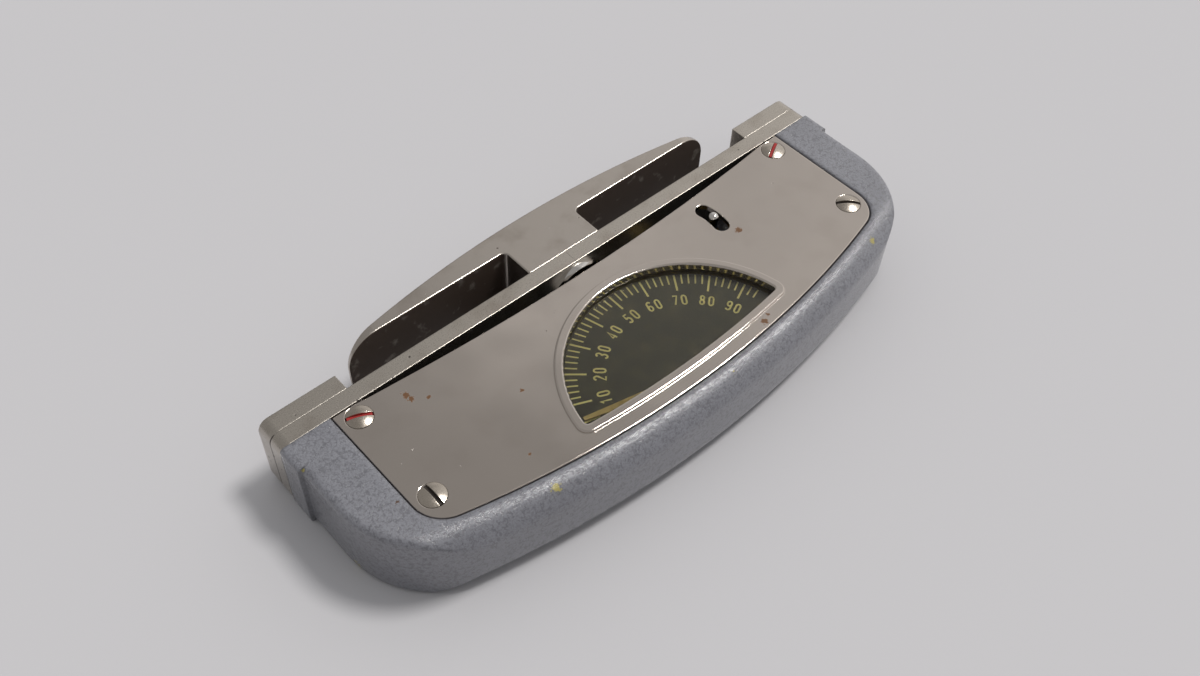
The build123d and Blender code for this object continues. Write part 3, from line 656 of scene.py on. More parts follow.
@dataclass(frozen=True)
class Plating(Finish):
    """Nickel plating, from polished to pitted; lengths in millimetres."""

    tone: Colour = linear(190, 184, 178)
    stain: Colour = linear(110, 92, 74)
    # grime: colour of pits and seams, and of the painted shade in slots and on inner faces.
    grime: Colour = linear(52, 44, 38)
    roughness: float = 0.16
    unevenness: float = 0.08
    pits: float = 0.2
    pit_scale: float = 0.9
    pit_size: float = 0.22
    stains: float = 0.25
    rounding: float = 0.25
    grain_scale: float = 4.0
    grain_height: float = 0.15
    relief: float = 0.1
    relief_strength: float = 0.3
    dirt_roughness: float = 0.3
    waves: float = 0.0
    wave_scale: float = 0.05
    # inner_grime: painted shade and dark reflection, with some grime, on faces turned towards -Y; inner_band
    # is the range of the normal's Y over which it fades in.
    inner_grime: bool = False
    inner_band: Band = (-0.5, -0.9)
    # dirty_below: painted shade on all that lies lower than this height, such as inside the screw slots;
    # dirty_blur softens its edge.
    dirty_below: Optional[float] = None
    dirty_blur: float = 0.05
    seams: tuple[float, ...] = ()
    marks: tuple[Spot, ...] = ()

    def build(self, nodes: NodeTree, shader: bpy.types.Node) -> None:
        """Stained and pitted metal with softly rounded edges, and painted shade where a finish asks for it.

        Args:
            nodes: The tree that the nodes are added to.
            shader: The material's Principled BSDF.
        """
        place = nodes.millimetres()
        patches = CloudEffect.place(nodes, Scale=0.16, Detail=5.0, Low=0.45, High=0.75, Shift=2.0)
        fine = nodes.add(
            "ShaderNodeTexNoise", {"Vector": place, "Scale": self.grain_scale, "Detail": 4.0}
        ).outputs[0]
        specks = SpeckEffect.place(
            nodes, Scale=self.pit_scale, Size=self.pit_size, Share=self.pits, Shift=1.0
        )
        pits = specks.outputs["Mask"]
        base = nodes.mix(nodes.maths("MULTIPLY", patches.outputs["Mask"], self.stains), self.tone, self.stain)
        base = nodes.mix(pits, base, self.grime)
        # dirt gathers pits, seams, marks and painted shade; where it lies the metal is less metallic and
        # rougher.
        dirt = pits
        for mask, colour in self.dirt(nodes):
            base = nodes.mix(mask, base, colour)
            dirt = nodes.maths("MAXIMUM", dirt, mask)
        nodes.feed(shader.inputs["Base Color"], base)
        nodes.feed(shader.inputs["Metallic"], nodes.maths("SUBTRACT", 1.0, dirt, clamp=True))
        rough = nodes.maths(
            "ADD",
            nodes.spread(fine, *NOISE_BAND, self.roughness, self.roughness + self.unevenness),
            nodes.maths("MULTIPLY", dirt, self.dirt_roughness),
        )
        nodes.feed(shader.inputs["Roughness"], rough)
        height = nodes.maths("SUBTRACT", nodes.maths("MULTIPLY", fine, self.grain_height), pits)
        bump = soft_relief(nodes, height, self.relief_strength, self.relief, self.rounding, 8)
        if self.waves:
            swell = nodes.add(
                "ShaderNodeTexNoise", {"Vector": place, "Scale": self.wave_scale, "Detail": 1.0}
            )
            bump = relief(nodes, swell.outputs[0], 1.0, self.waves, bump)
        nodes.feed(shader.inputs["Normal"], bump)

    def dirt(self, nodes: NodeTree) -> list[tuple[bpy.types.NodeSocket, Colour]]:
        """Finds the places where the metal is covered, and where shade is painted on it.

        Args:
            nodes: The material's tree.

        Returns:
            The masks of seams, marks, painted shade low in the screw slots, and painted shade with some grime
            on inner faces, each with its colour.
        """
        found = []
        for depth in self.seams:
            found.append((SeamEffect.place(nodes, Y=depth).outputs["Mask"], self.grime))
        for spot in self.marks:
            found.append((spot.place(nodes).outputs["Mask"], self.stain))
        # Painted shade below a height, such as inside the screw slots.
        if self.dirty_below is not None:
            heights = nodes.add("ShaderNodeSeparateXYZ", {0: nodes.millimetres()})
            top, bottom = self.dirty_below + self.dirty_blur, self.dirty_below - self.dirty_blur
            found.append((nodes.spread(heights.outputs["Z"], top, bottom), self.grime))
        # Painted shade and dark reflection, with some grime, on faces turned towards -Y, made uneven by soft
        # clouds.
        if self.inner_grime:
            inner = nodes.spread(nodes.facing().outputs["Y"], *self.inner_band)
            smear = CloudEffect.place(nodes, Scale=0.35, Detail=5.0, Low=0.2, High=0.6, Shift=5.0)
            uneven = nodes.maths("ADD", smear.outputs["Mask"], 0.5)
            found.append((nodes.maths("MULTIPLY", inner, uneven, clamp=True), self.grime))
        return found


@dataclass(frozen=True)
class Brass(Finish):
    """Dull brass with darker patches."""

    tone: Colour = linear(158, 140, 96)
    dark: Colour = linear(92, 78, 44)
    tarnish: float = 0.6
    roughness: Band = (0.32, 0.48)
    grain_scale: float = 6.0

    def build(self, nodes: NodeTree, shader: bpy.types.Node) -> None:
        """Tarnish in patches and a fine grain.

        Args:
            nodes: The tree that the nodes are added to.
            shader: The material's Principled BSDF.
        """
        patches = CloudEffect.place(nodes, Scale=0.5, Detail=4.0, Low=0.35, High=0.7, Shift=7.0)
        share = nodes.maths("MULTIPLY", patches.outputs["Mask"], self.tarnish)
        nodes.feed(shader.inputs["Base Color"], nodes.mix(share, self.tone, self.dark))
        shader.inputs["Metallic"].default_value = 1.0
        fine = nodes.add(
            "ShaderNodeTexNoise", {"Vector": nodes.millimetres(), "Scale": self.grain_scale, "Detail": 3.0}
        ).outputs[0]
        nodes.feed(shader.inputs["Roughness"], nodes.spread(fine, *NOISE_BAND, *self.roughness))
        nodes.feed(shader.inputs["Normal"], relief(nodes, fine, 0.2, 0.05))


@dataclass(frozen=True)
class Paint(Finish):
    """Matt paint or ink with speckles."""

    tone: Colour = linear(44, 44, 38)
    speck: Colour = linear(96, 84, 44)
    patch: Colour = linear(66, 62, 44)
    specks: float = 0.25
    cover: float = 0.6
    roughness: Band = (0.47, 0.65)
    grain_scale: float = 5.0

    def build(self, nodes: NodeTree, shader: bpy.types.Node) -> None:
        """A base tone with clouds and specks.

        Args:
            nodes: The tree that the nodes are added to.
            shader: The material's Principled BSDF.
        """
        patches = CloudEffect.place(nodes, Scale=0.22, Detail=5.0, Low=0.4, High=0.75, Shift=4.0)
        grains = SpeckEffect.place(nodes, Scale=1.4, Size=0.25, Share=self.specks, Shift=8.0)
        base = nodes.mix(nodes.maths("MULTIPLY", patches.outputs["Mask"], self.cover), self.tone, self.patch)
        base = nodes.mix(nodes.maths("MULTIPLY", grains.outputs["Mask"], self.cover), base, self.speck)
        nodes.feed(shader.inputs["Base Color"], base)
        fine = nodes.add(
            "ShaderNodeTexNoise", {"Vector": nodes.millimetres(), "Scale": self.grain_scale, "Detail": 4.0}
        ).outputs[0]
        nodes.feed(shader.inputs["Roughness"], nodes.spread(fine, *NOISE_BAND, *self.roughness))
        nodes.feed(shader.inputs["Normal"], relief(nodes, fine, 0.15, 0.05))


@dataclass(frozen=True)
class Pane(Finish):
    """Clear pane, slightly yellow."""

    tone: Colour = linear(246, 244, 226)
    refraction: float = 1.46
    roughness: Band = (0.02, 0.07)

    def build(self, nodes: NodeTree, shader: bpy.types.Node) -> None:
        """Thin glass with faint smears.

        Args:
            nodes: The tree that the nodes are added to.
            shader: The material's Principled BSDF.
        """
        shader.inputs["Base Color"].default_value = (*self.tone, 1)
        shader.inputs["Transmission Weight"].default_value = 1.0
        shader.inputs["IOR"].default_value = self.refraction
        smear = CloudEffect.place(nodes, Scale=0.3, Detail=4.0, Low=0.4, High=0.8, Shift=9.0)
        nodes.feed(shader.inputs["Roughness"], nodes.spread(smear.outputs["Mask"], 0.0, 1.0, *self.roughness))


@dataclass(frozen=True)
class FloorFinish(Finish):
    """Plain pale table."""

    tone: Colour = linear(186, 185, 188)
    roughness: float = 0.8
    shine: float = 0.2

    def build(self, nodes: NodeTree, shader: bpy.types.Node) -> None:
        """A matt even surface.

        Args:
            nodes: The tree that the nodes are added to.
            shader: The material's Principled BSDF.
        """
        shader.inputs["Base Color"].default_value = (*self.tone, 1)
        shader.inputs["Roughness"].default_value = self.roughness
        shader.inputs["Specular IOR Level"].default_value = self.shine


class Finishes:
    """The finishes of this instrument."""

    enamel = HammeredEnamel("hammered_enamel")
    cover = Plating(
        "cover_nickel",
        tone=linear(206, 198, 191),
        stain=linear(98, 66, 38),
        roughness=0.1,
        unevenness=0.05,
        pits=0.03,
        stains=0.06,
        rounding=0.3,
        waves=0.3,
        marks=(
            Spot(-47.2, 8.6, 18.0, 0.75),
            Spot(-46.9, 7.2, 18.0, 0.6),
            Spot(-44.2, 5.4, 18.0, 0.45),
            Spot(-29.8, -4.8, 18.0, 0.4),
            Spot(-38.1, -16.9, 18.0, 0.3),
            Spot(18.1, -23.3, 18.0, 0.75),
            Spot(19.8, -22.5, 18.0, 0.4),
            Spot(32.4, -2.2, 18.0, 0.8),
        ),
    )
    bar = Plating(
        "bar_nickel",
        tone=linear(186, 180, 172),
        roughness=0.26,
        unevenness=0.12,
        pits=0.5,
        pit_scale=0.75,
        stains=0.3,
        seams=(13.45, 17.15),
    )
    # The grip's inner faces get painted shade and dark reflection with some grime.
    grip = Plating(
        "grip_nickel",
        tone=linear(192, 185, 178),
        grime=linear(66, 54, 46),
        roughness=0.22,
        unevenness=0.05,
        pits=0.12,
        stains=0.25,
        inner_grime=True,
    )
    bright = Plating("bright_nickel", tone=linear(206, 204, 200), roughness=0.1, unevenness=0.05, pits=0.05)
    clamp = Plating(
        "clamp_steel",
        tone=linear(176, 170, 162),
        roughness=0.24,
        unevenness=0.12,
        pits=0.15,
        rounding=0.15,
    )
    # The screws get painted shade on everything below 17.95 mm, which darkens their slots.
    screws = Plating(
        "screw_steel",
        tone=linear(188, 180, 170),
        grime=linear(40, 32, 26),
        roughness=0.2,
        unevenness=0.12,
        pits=0.15,
        rounding=0.15,
        dirty_below=17.95,
    )
    plain = Plating("turned_steel", tone=linear(150, 150, 150), roughness=0.3, pits=0.05, rounding=0.1)
    brass = Brass("movement_brass")
    frame = Brass("frame_brass", tone=linear(132, 122, 78), dark=linear(78, 70, 40))
    pointer = Brass("pointer_brass", tone=linear(170, 152, 108), dark=linear(120, 102, 62))
    dial = Paint("dial_paint", tone=linear(24, 22, 18))
    ink = Paint(
        "dial_ink",
        tone=linear(206, 198, 136),
        speck=linear(120, 112, 70),
        patch=linear(182, 172, 112),
        specks=0.1,
    )
    red = Paint(
        "slot_paint",
        tone=linear(150, 22, 20),
        speck=linear(90, 20, 18),
        patch=linear(110, 24, 20),
    )
    pane = Pane("yellow_pane")


CAD_FINISHES: dict[str, Finish] = {
    "housing": Finishes.enamel,
    "spring_bar": Finishes.bar,
    "clamp_block_left": Finishes.bar,
    "clamp_block_right": Finishes.bar,
    "clamp_screws": Finishes.clamp,
    "front_grip": Finishes.grip,
    "grip_nut": Finishes.bright,
    "cover": Finishes.cover,
    "cover_screws": Finishes.screws,
    "window_pane": Finishes.pane,
    "pane_frame": Finishes.frame,
    "dial": Finishes.dial,
    "pointer": Finishes.pointer,
    "hold_pin": Finishes.bright,
    "pusher": Finishes.plain,
    "sector": Finishes.brass,
    "sector_arbor": Finishes.plain,
    "pinion": Finishes.plain,
    "base_plate": Finishes.brass,
    "upper_plate": Finishes.brass,
    "bridge_pillars": Finishes.brass,
    "bridge_screws": Finishes.clamp,
    "dial_pillars": Finishes.brass,
    "dial_screws": Finishes.clamp,
    "plate_screws": Finishes.clamp,
    "return_spring": Finishes.plain,
    "spring_post": Finishes.brass,
    "stop_pin": Finishes.plain,
    "hold_lever": Finishes.brass,
    "lever_post": Finishes.brass,
    "lever_screw": Finishes.clamp,
    "lever_washer": Finishes.plain,
}


@dataclass
class Studio:
    """Floor, light and camera; places in millimetres."""

    camera_at: Point = (-116.18, -112.909, 204.546)
    camera_back: Point = (-0.44187, -0.44923, 0.77650)
    roll: float = math.radians(3.073)
    lens: float = 36.522
    sensor: float = 36
    near: float = 10
    far: float = 10000
    sun_way: Point = (0.45, -0.13, 0.88)
    sun_tint: Colour = (1.0, 0.98, 0.95)
    sun_strength: float = 2.0
    sun_spread: float = math.radians(14)
    bright_side: Point = (0.5, 0.45, 0.74)
    ambient_band: Band = (-0.7, 0.9)
    ambient_level: Band = (0.2, 0.72)
    mirror_clouds: float = 0.7
    mirror_band: Band = (0.725, 1.015)
    mirror_level: Band = (0.33, 0.75)
    mirror_tint: Colour = (1.0, 0.97, 0.94)
    floor_size: float = 2400
    floor_gap: float = 0.02

    def camera(self) -> None:
        """Sets the camera where the photograph was taken from."""
        data = bpy.data.cameras.new("camera")
        data.lens = self.lens
        data.sensor_width = self.sensor
        data.clip_start = self.near * MM
        data.clip_end = self.far * MM
        camera = bpy.data.objects.new("camera", data)
        bpy.context.scene.collection.objects.link(camera)
        back = Vector(self.camera_back).normalized()
        forward = -back
        right = forward.cross(Vector((0, 0, 1))).normalized()
        down = forward.cross(right)
        cos, sin = math.cos(self.roll), math.sin(self.roll)
        level = cos * right - sin * down
        drop = sin * right + cos * down
        turn = Matrix((level, -drop, back)).transposed().to_4x4()
        camera.matrix_world = Matrix.Translation(Vector(self.camera_at) * MM) @ turn
        bpy.context.scene.camera = camera

    def floor(self) -> None:
        """Lays a plain pale table under the instrument."""
        bpy.ops.mesh.primitive_plane_add(
            size=self.floor_size * MM, location=(0, 0, -self.floor_gap * MM)
        )
        floor = bpy.context.object
        floor.name = "table"
        FloorFinish("pale_table").dress(floor)

    def lamp(self) -> None:
        """Hangs one soft lamp on the right."""
        data = bpy.data.lights.new("key", "SUN")
        data.energy = self.sun_strength
        data.angle = self.sun_spread
        data.color = self.sun_tint
        lamp = bpy.data.objects.new("key", data)
        bpy.context.scene.collection.objects.link(lamp)
        lamp.rotation_mode = "QUATERNION"
        lamp.rotation_quaternion = Vector(self.sun_way).to_track_quat("Z", "Y")

    def surround(self) -> None:
        """Makes the surround: soft light, what the metal mirrors, and white behind."""
        world = bpy.data.worlds.new("studio")
        bpy.context.scene.world = world
        world.use_nodes = True
        world.node_tree.nodes.clear()
        nodes = NodeTree(world.node_tree)
        output = nodes.add("ShaderNodeOutputWorld")
        path = nodes.add("ShaderNodeLightPath")
        way = nodes.add("ShaderNodeTexCoord").outputs["Generated"]
        facing = nodes.vectors("DOT_PRODUCT", way, self.bright_side)
        level = nodes.spread(facing.outputs["Value"], *self.ambient_band, *self.ambient_level)
        ambient = nodes.add("ShaderNodeBackground", {"Color": level, "Strength": 1.0})
        mirrored = nodes.add("ShaderNodeBackground", {"Color": self.mirrored(nodes, way), "Strength": 1.0})
        plain = nodes.add("ShaderNodeBackground", {"Color": (1.0, 1.0, 1.0), "Strength": 1.0})
        first = nodes.add(
            "ShaderNodeMixShader",
            {0: path.outputs["Is Glossy Ray"], 1: ambient.outputs[0], 2: mirrored.outputs[0]},
        )
        second = nodes.add(
            "ShaderNodeMixShader",
            {0: path.outputs["Is Camera Ray"], 1: first.outputs[0], 2: plain.outputs[0]},
        )
        nodes.feed(output.inputs["Surface"], second.outputs[0])

    def mirrored(self, nodes: NodeTree, way: bpy.types.NodeSocket) -> bpy.types.NodeSocket:
        """Makes what the metal mirrors: grey on the left, paler on the right, with soft clouds.

        Args:
            nodes: The world's tree.
            way: Direction that is looked in.

        Returns:
            The colour's output.
        """
        clouds = nodes.add("ShaderNodeTexNoise", {"Vector": way, "Scale": 2.2, "Detail": 1.5})
        parts = nodes.add("ShaderNodeSeparateXYZ", {0: way})
        drift = nodes.maths("MULTIPLY", clouds.outputs[0], self.mirror_clouds)
        slope = nodes.maths("ADD", parts.outputs["X"], drift)
        grey = nodes.spread(slope, *self.mirror_band, *self.mirror_level)
        return nodes.mix(1.0, self.mirror_tint, grey, "MULTIPLY")

    def build(self) -> None:
        """Makes the camera, the floor and the light."""
        self.camera()
        self.floor()
        self.lamp()
        self.surround()


# Points nearer than this are one point, in metres
MERGE_DISTANCE = 1e-6


def deselect() -> None:
    """Leaves every object unselected."""
    bpy.ops.object.select_all(action="DESELECT")


def activate(piece: bpy.types.Object) -> None:
    """Selects one object alone and makes it the active one.

    Args:
        piece: The piece.
    """
    deselect()
    piece.select_set(True)
    bpy.context.view_layer.objects.active = piece


def settle(piece: bpy.types.Object) -> None:
    """Moves an object's place and turn into its mesh."""
    activate(piece)
    bpy.ops.object.transform_apply(location=True, rotation=True, scale=True)


def block(name: str, low: Point, high: Point) -> bpy.types.Object:
    """Adds a box between two corners.

    Args:
        name: Name of the new object.
        low: Lowest corner, in millimetres.
        high: Highest corner, in millimetres.

    Returns:
        The box, its place in its mesh.
    """
    deselect()
    middle = [(a + b) / 2 * MM for a, b in zip(low, high)]
    bpy.ops.mesh.primitive_cube_add(size=1, location=middle)
    piece = bpy.context.object
    piece.name = name
    piece.scale = [(b - a) * MM for a, b in zip(low, high)]
    settle(piece)
    return piece


def round_edges(piece: bpy.types.Object, width: float, segments: int = 2) -> None:
    """Rounds the sharp edges of a piece.

    Args:
        piece: The piece.
        width: Width of the rounding, in millimetres.
        segments: Number of facets across it.
    """
    modifier = piece.modifiers.new("edge", "BEVEL")
    modifier.width = width * MM
    modifier.segments = segments
    modifier.limit_method = "ANGLE"
    activate(piece)
    bpy.ops.object.modifier_apply(modifier=modifier.name)


def own_copy(piece: bpy.types.Object, name: str) -> bpy.types.Object:
    """Copies an object together with its mesh.

    Args:
        piece: The object to copy.
        name: Name of the copy.

    Returns:
        The copy.
    """
    twin = bpy.data.objects.new(name, piece.data.copy())
    twin.matrix_world = piece.matrix_world
    bpy.context.scene.collection.objects.link(twin)
    settle(twin)
    return twin


def join(name: str, parts: Sequence[bpy.types.Object]) -> bpy.types.Object:
    """Joins objects into one.

    Args:
        name: Name of the result.
        parts: The objects; the first one keeps its object.

    Returns:
        The joined object, its place in its mesh.
    """
    deselect()
    for part in parts:
        part.select_set(True)
    bpy.context.view_layer.objects.active = parts[0]
    if len(parts) > 1:
        bpy.ops.object.join()
    parts[0].name = name
    settle(parts[0])
    return parts[0]


def turn_about(piece: bpy.types.Object, centre: Point, degrees: float) -> None:
    """Turns a piece about a vertical line through a point, in its mesh.

    Args:
        piece: The piece.
        centre: The point, in millimetres.
        degrees: Angle, anticlockwise from above.
    """
    place = Matrix.Translation(Vector(centre) * MM)
    turn = place @ Matrix.Rotation(math.radians(degrees), 4, "Z") @ place.inverted()
    piece.matrix_world = turn @ piece.matrix_world
    settle(piece)


def merge(piece: bpy.types.Object) -> None:
    """Merges the loose triangles of a copied CAD mesh.

    Args:
        piece: The piece.
    """
    activate(piece)
    bpy.ops.object.mode_set(mode="EDIT")
    bpy.ops.mesh.select_all(action="SELECT")
    bpy.ops.mesh.remove_doubles(threshold=MERGE_DISTANCE)
    bpy.ops.object.mode_set(mode="OBJECT")


def divide(piece: bpy.types.Object, places: Sequence[Point], way: Point) -> None:
    """Divides a mesh by parallel planes, so that it can bend between them.

    Args:
        piece: The piece.
        places: A point on each plane, in millimetres.
        way: Direction across the planes.
    """
    activate(piece)
    bpy.ops.object.mode_set(mode="EDIT")
    for place in places:
        bpy.ops.mesh.select_all(action="SELECT")
        bpy.ops.mesh.bisect(plane_co=Vector(place) * MM, plane_no=way)
    bpy.ops.mesh.select_all(action="SELECT")
    bpy.ops.mesh.normals_make_consistent(inside=False)
    bpy.ops.object.mode_set(mode="OBJECT")


@dataclass
class SpringBar:
    """The flat spring as two halves, each divided along its length between the clamps and the grip."""

    clamp_inner: float = 54.7
    bridge_half: float = 9.6
    slices: int = 30

    def half(self, side: int, name: str) -> bpy.types.Object:
        """Cuts one half out of a copy of the bar and divides it along its length.

        Args:
            side: -1 for the left half, 1 for the right half.
            name: Name of the piece.

        Returns:
            The closed half.
        """
        piece = own_copy(frame["nodes"]["spring_bar"], name)
        merge(piece)
        bpy.ops.object.mode_set(mode="EDIT")
        bpy.ops.mesh.bisect(
            plane_co=(0, 0, 0),
            plane_no=(1, 0, 0),
            use_fill=True,
            clear_outer=side < 0,
            clear_inner=side > 0,
        )
        bpy.ops.object.mode_set(mode="OBJECT")
        first = self.bridge_half / 2
        step = (self.clamp_inner - first) / self.slices
        divide(piece, [(side * (first + step * index), 0, 0) for index in range(1, self.slices)], (1, 0, 0))
        return piece

    def build(self) -> None:
        """Makes both halves in place of the whole bar."""
        for side, name in ((-1, "spring_bar_left_half"), (1, "spring_bar_right_half")):
            piece = self.half(side, name)
            Finishes.bar.dress(piece)
            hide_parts("spring_bar")
            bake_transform(piece)
            LOG.info("%s: bends between the clamp and the grip", name)


@dataclass
class ReturnSpring:
    """The leaf that presses the sector back, divided along its length."""

    foot: Point = (7.4, -17.0, 7.0)
    tip: Point = (4.9, -7.4, 7.0)
    slices: int = 16

    def build(self) -> None:
        """Divides a copy of the leaf along its length."""
        piece = own_copy(frame["nodes"]["return_spring"], "return_spring_leaf")
        merge(piece)
        step = (self.tip[1] - self.foot[1]) / self.slices
        divide(piece, [(0, self.foot[1] + step * index, 0) for index in range(self.slices + 1)], (0, 1, 0))
        Finishes.plain.dress(piece)
        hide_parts("return_spring")
        tuple(value * MM for value in self.foot)
        tuple(value * MM for value in self.tip)
        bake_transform(piece)
        LOG.info("%s: bends between its post and the sector", piece.name)


@dataclass
class DialPrint:
    """Ticks and numerals printed on the dial."""

    centre: tuple[float, float] = (0.0, -22.75)
    tick_outer: float = 26.2
    major_inner: float = 21.9
    minor_inner: float = 23.75
    major_width: float = 0.42
    minor_width: float = 0.34
    thickness: float = 0.03
    lift: float = 0.004
    first_angle: float = 156.13
    step_angle: float = 3.327
    zero_angle: float = 166.56
    last_value: int = 94
    numeral_radius: float = 19.3
    numeral_height: float = 2.75
    numeral_width: float = 1.3
    stroke: float = 0.4
    pitch: float = 1.85
    arc_steps: int = 10
    first_value: int = 10
    value_step: int = 2
    named_step: int = 10
    upright: float = 90.0

    @property
    def level(self) -> float:
        """Top of the dial, in millimetres."""
        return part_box("dial")[1][2] / MM + self.lift

    def angle(self, value: float) -> float:
        """Angle of a scale value, in degrees."""
        return self.first_angle - (value - self.first_value) / self.value_step * self.step_angle

    def tick(self, name: str, inner: float, width: float) -> bpy.types.Object:
        """Makes one tick that points along +X from the dial's centre.

        Args:
            name: Name of the tick.
            inner: Radius of its inner end, in millimetres.
            width: Its width, in millimetres.

        Returns:
            The tick.
        """
        x, y = self.centre
        piece = block(
            name,
            (x + inner, y - width / 2, self.level),
            (x + self.tick_outer, y + width / 2, self.level + self.thickness),
        )
        round_edges(piece, self.thickness / 3, 1)
        return piece

    def ticks(self) -> bpy.types.Object:
        """Copies the two kinds of tick round the dial.

        Returns:
            The ticks as one piece.
        """
        major = self.tick("major_tick", self.major_inner, self.major_width)
        minor = self.tick("minor_tick", self.minor_inner, self.minor_width)
        places = [(major, self.zero_angle)]
        for value in range(self.first_value, self.last_value + 1, self.value_step):
            places.append((major if value % self.named_step == 0 else minor, self.angle(value)))
        marks = []
        for template, degrees in places:
            mark = own_copy(template, "tick")
            turn_about(mark, (*self.centre, 0), degrees)
            marks.append(mark)
        for template in (major, minor):
            bpy.data.objects.remove(template)
        return join("dial_ticks", marks)

    def arc(self, x: float, y: float, across: float, up: float, start: float, end: float) -> Line:
        """Finds points of an elliptical arc.

        Args:
            x: Middle of the ellipse, across.
            y: Middle of the ellipse, up.
            across: Half its width.
            up: Half its height.
            start: Angle that the arc starts at, in degrees.
            end: Angle that it ends at.

        Returns:
            The points, in order.
        """
        points = []
        for index in range(self.arc_steps + 1):
            turn = math.radians(start + (end - start) * index / self.arc_steps)
            points.append((x + across * math.cos(turn), y + up * math.sin(turn)))
        return points

    def strokes(self, digit: str) -> list[Line]:
        """Centre lines of a narrow digit, one unit wide and two high.

        Args:
            digit: One of 0 to 9.

        Returns:
            The lines, each a list of points about the digit's middle.
        """
        arc = self.arc
        oval = arc(0, 0.5, 0.5, 0.5, 0, 180) + arc(0, -0.5, 0.5, 0.5, 180, 360)
        shapes = {
            "0": [oval + oval[:1]],
            "1": [[(-0.32, 0.45), (0.12, 1.0), (0.12, -1.0)]],
            "2": [arc(0, 0.5, 0.5, 0.5, 170, -25) + [(-0.5, -1.0), (0.5, -1.0)]],
            "3": [arc(0, 0.52, 0.46, 0.48, 160, -90), arc(0, -0.48, 0.5, 0.52, 90, -160)],
            "4": [[(0.22, -1.0), (0.22, 1.0), (-0.5, -0.5), (0.5, -0.5)]],
            "5": [[(0.42, 1.0), (-0.36, 1.0), (-0.42, 0.12)] + arc(0, -0.4, 0.5, 0.6, 130, -150)],
            "6": [arc(0, 0.5, 0.5, 0.5, 30, 180) + arc(0, -0.45, 0.5, 0.55, 180, 540)],
            "7": [[(-0.5, 1.0), (0.48, 1.0), (-0.15, -1.0)]],
            "8": [arc(0, 0.52, 0.43, 0.48, 0, 360), arc(0, -0.48, 0.5, 0.52, 0, 360)],
            "9": [arc(0, -0.5, 0.5, 0.5, 210, 360) + arc(0, 0.45, 0.5, 0.55, 0, 360)],
        }
        return shapes[digit]

    def digit(self, digit: str) -> bpy.types.Object:
        """Makes a flat rounded digit about the origin, upright along +Y.

        Args:
            digit: One of 0 to 9.

        Returns:
            The digit.
        """
        curve = bpy.data.curves.new("digit_" + digit, "CURVE")
        curve.dimensions = "3D"
        curve.bevel_depth = self.stroke / 2 * MM
        curve.bevel_resolution = 2
        curve.use_fill_caps = True
        for line in self.strokes(digit):
            spline = curve.splines.new("POLY")
            spline.points.add(len(line) - 1)
            for point, (x, y) in zip(spline.points, line):
                wide = x * (self.numeral_width - self.stroke)
                high = y * (self.numeral_height - self.stroke) / 2
                point.co = (wide * MM, high * MM, 0, 1)
        piece = bpy.data.objects.new("digit_" + digit, curve)
        bpy.context.scene.collection.objects.link(piece)
        activate(piece)
        bpy.ops.object.convert(target="MESH")
        piece.scale = (1, 1, self.thickness / self.stroke)
        settle(piece)
        return piece

    def numerals(self) -> bpy.types.Object:
        """Sets the numerals 0 to 90 round the dial.

        Returns:
            The numerals as one piece.
        """
        digits = {sign: self.digit(sign) for sign in "0123456789"}
        marks = []
        for value in range(0, self.last_value + 1, self.named_step):
            degrees = self.zero_angle if value == 0 else self.angle(value)
            signs = str(value)
            for index, sign in enumerate(signs):
                mark = own_copy(digits[sign], "numeral")
                shift = (index - (len(signs) - 1) / 2) * self.pitch
                mark.location = (
                    (self.centre[0] + shift) * MM,
                    (self.centre[1] + self.numeral_radius) * MM,
                    (self.level + self.thickness / 2) * MM,
                )
                settle(mark)
                turn_about(mark, (*self.centre, 0), degrees - self.upright)
                marks.append(mark)
        for piece in digits.values():
            bpy.data.objects.remove(piece)
        return join("dial_numerals", marks)

    def build(self) -> None:
        """Makes the print and dresses it."""
        for piece in (self.ticks(), self.numerals()):
            Finishes.ink.dress(piece)
            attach(piece, Body.ROOT.value)
            LOG.info("%s: printed on the dial", piece.name)


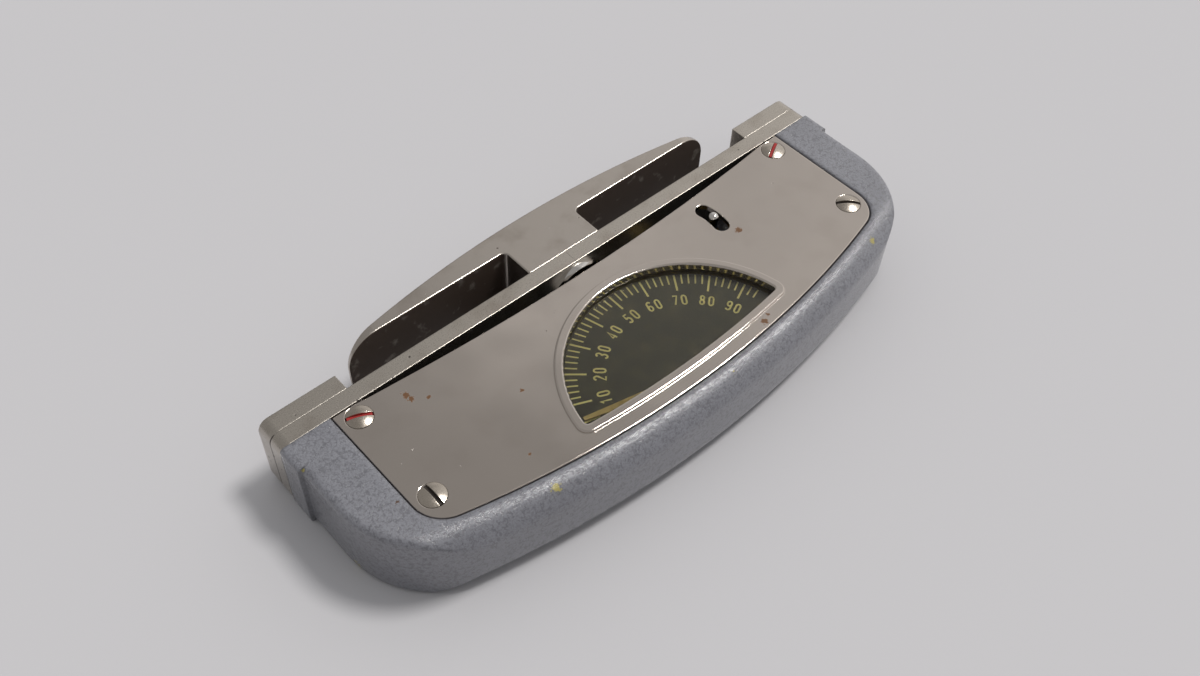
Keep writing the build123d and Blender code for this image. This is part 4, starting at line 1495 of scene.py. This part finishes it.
@dataclass
class PaneSeal:
    """Yellowed ring between the dial and the pane, along the arc of the window."""

    centre: tuple[float, float] = (0.0, -22.75)
    inner: float = 26.5
    width: float = 1.0
    height: float = 0.72
    lift: float = 0.01
    start: float = 8.0
    end: float = 172.0
    steps: int = 82
    merge_distance: float = 1e-7

    def section(self) -> bpy.types.Object:
        """Stands the ring's cross-section at its start.

        Returns:
            The cross-section, a flat rectangle.
        """
        deselect()
        bpy.ops.mesh.primitive_plane_add(size=1, location=(0, 0, 0))
        piece = bpy.context.object
        piece.name = "pane_seal"
        piece.scale = (self.width * MM, self.height * MM, 1)
        settle(piece)
        start = math.radians(self.start)
        radius = self.inner + self.width / 2
        middle = (
            self.centre[0] + radius * math.cos(start),
            self.centre[1] + radius * math.sin(start),
            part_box("dial")[1][2] / MM + self.lift + self.height / 2,
        )
        turn = Matrix.Rotation(start, 4, "Z") @ Matrix.Rotation(math.pi / 2, 4, "X")
        piece.matrix_world = Matrix.Translation(Vector(middle) * MM) @ turn
        settle(piece)
        return piece

    def build(self) -> None:
        """Spins the cross-section round the dial's centre."""
        piece = self.section()
        bpy.ops.object.mode_set(mode="EDIT")
        bpy.ops.mesh.select_all(action="SELECT")
        bpy.ops.mesh.spin(
            steps=self.steps,
            angle=-math.radians(self.end - self.start),
            center=(self.centre[0] * MM, self.centre[1] * MM, 0),
            axis=(0, 0, 1),
        )
        bpy.ops.object.mode_set(mode="OBJECT")
        self.close(piece)
        Finishes.frame.dress(piece)
        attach(piece, Body.ROOT.value)
        LOG.info("pane_seal: ring under the pane")

    def close(self, piece: bpy.types.Object) -> None:
        """Closes the open start of the spun ring and turns its faces outwards.

        Args:
            piece: The piece.
        """
        activate(piece)
        bpy.ops.object.mode_set(mode="EDIT")
        bpy.ops.mesh.select_all(action="SELECT")
        bpy.ops.mesh.remove_doubles(threshold=self.merge_distance)
        bpy.ops.mesh.select_all(action="DESELECT")
        bpy.ops.mesh.select_non_manifold()
        bpy.ops.mesh.edge_face_add()
        bpy.ops.mesh.select_all(action="SELECT")
        bpy.ops.mesh.normals_make_consistent(inside=False)
        bpy.ops.object.mode_set(mode="OBJECT")


@dataclass
class SlotPaint:
    """Red sealing paint in the slots of two cover screws, each a place and an angle."""

    slots: tuple[Point, ...] = ((-56.7, 10.15, -24.0), (56.7, 10.15, 27.0))
    length: float = 4.9
    width: float = 0.74
    slot_bottom: float = 17.8
    lift: float = 0.01
    fill: float = 0.3
    rounding: float = 0.1

    def build(self) -> None:
        """Lays a rounded strip in each slot."""
        strips = []
        for x, y, degrees in self.slots:
            strip = block(
                "slot_strip",
                (x - self.length / 2, y - self.width / 2, self.slot_bottom + self.lift),
                (x + self.length / 2, y + self.width / 2, self.slot_bottom + self.fill),
            )
            round_edges(strip, self.rounding)
            turn_about(strip, (x, y, 0), degrees)
            strips.append(strip)
        piece = join("slot_paint", strips)
        Finishes.red.dress(piece)
        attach(piece, Body.ROOT.value)
        LOG.info("slot_paint: red paint in two slots")


def main() -> None:
    """Builds the pieces in order and reports each one."""
    logging.basicConfig(level=logging.INFO, format="%(message)s")
    bpy.context.scene.view_settings.view_transform = "Standard"
    Studio().build()
    LOG.info("studio: camera, table and light")
    for node, finish in CAD_FINISHES.items():
        finish.dress(frame["nodes"][node])
        LOG.info("%s: %s", node, finish.name)
    for assembly in (SpringBar(), ReturnSpring(), DialPrint(), PaneSeal(), SlotPaint()):
        assembly.build()


if __name__ == "__main__":
    main()
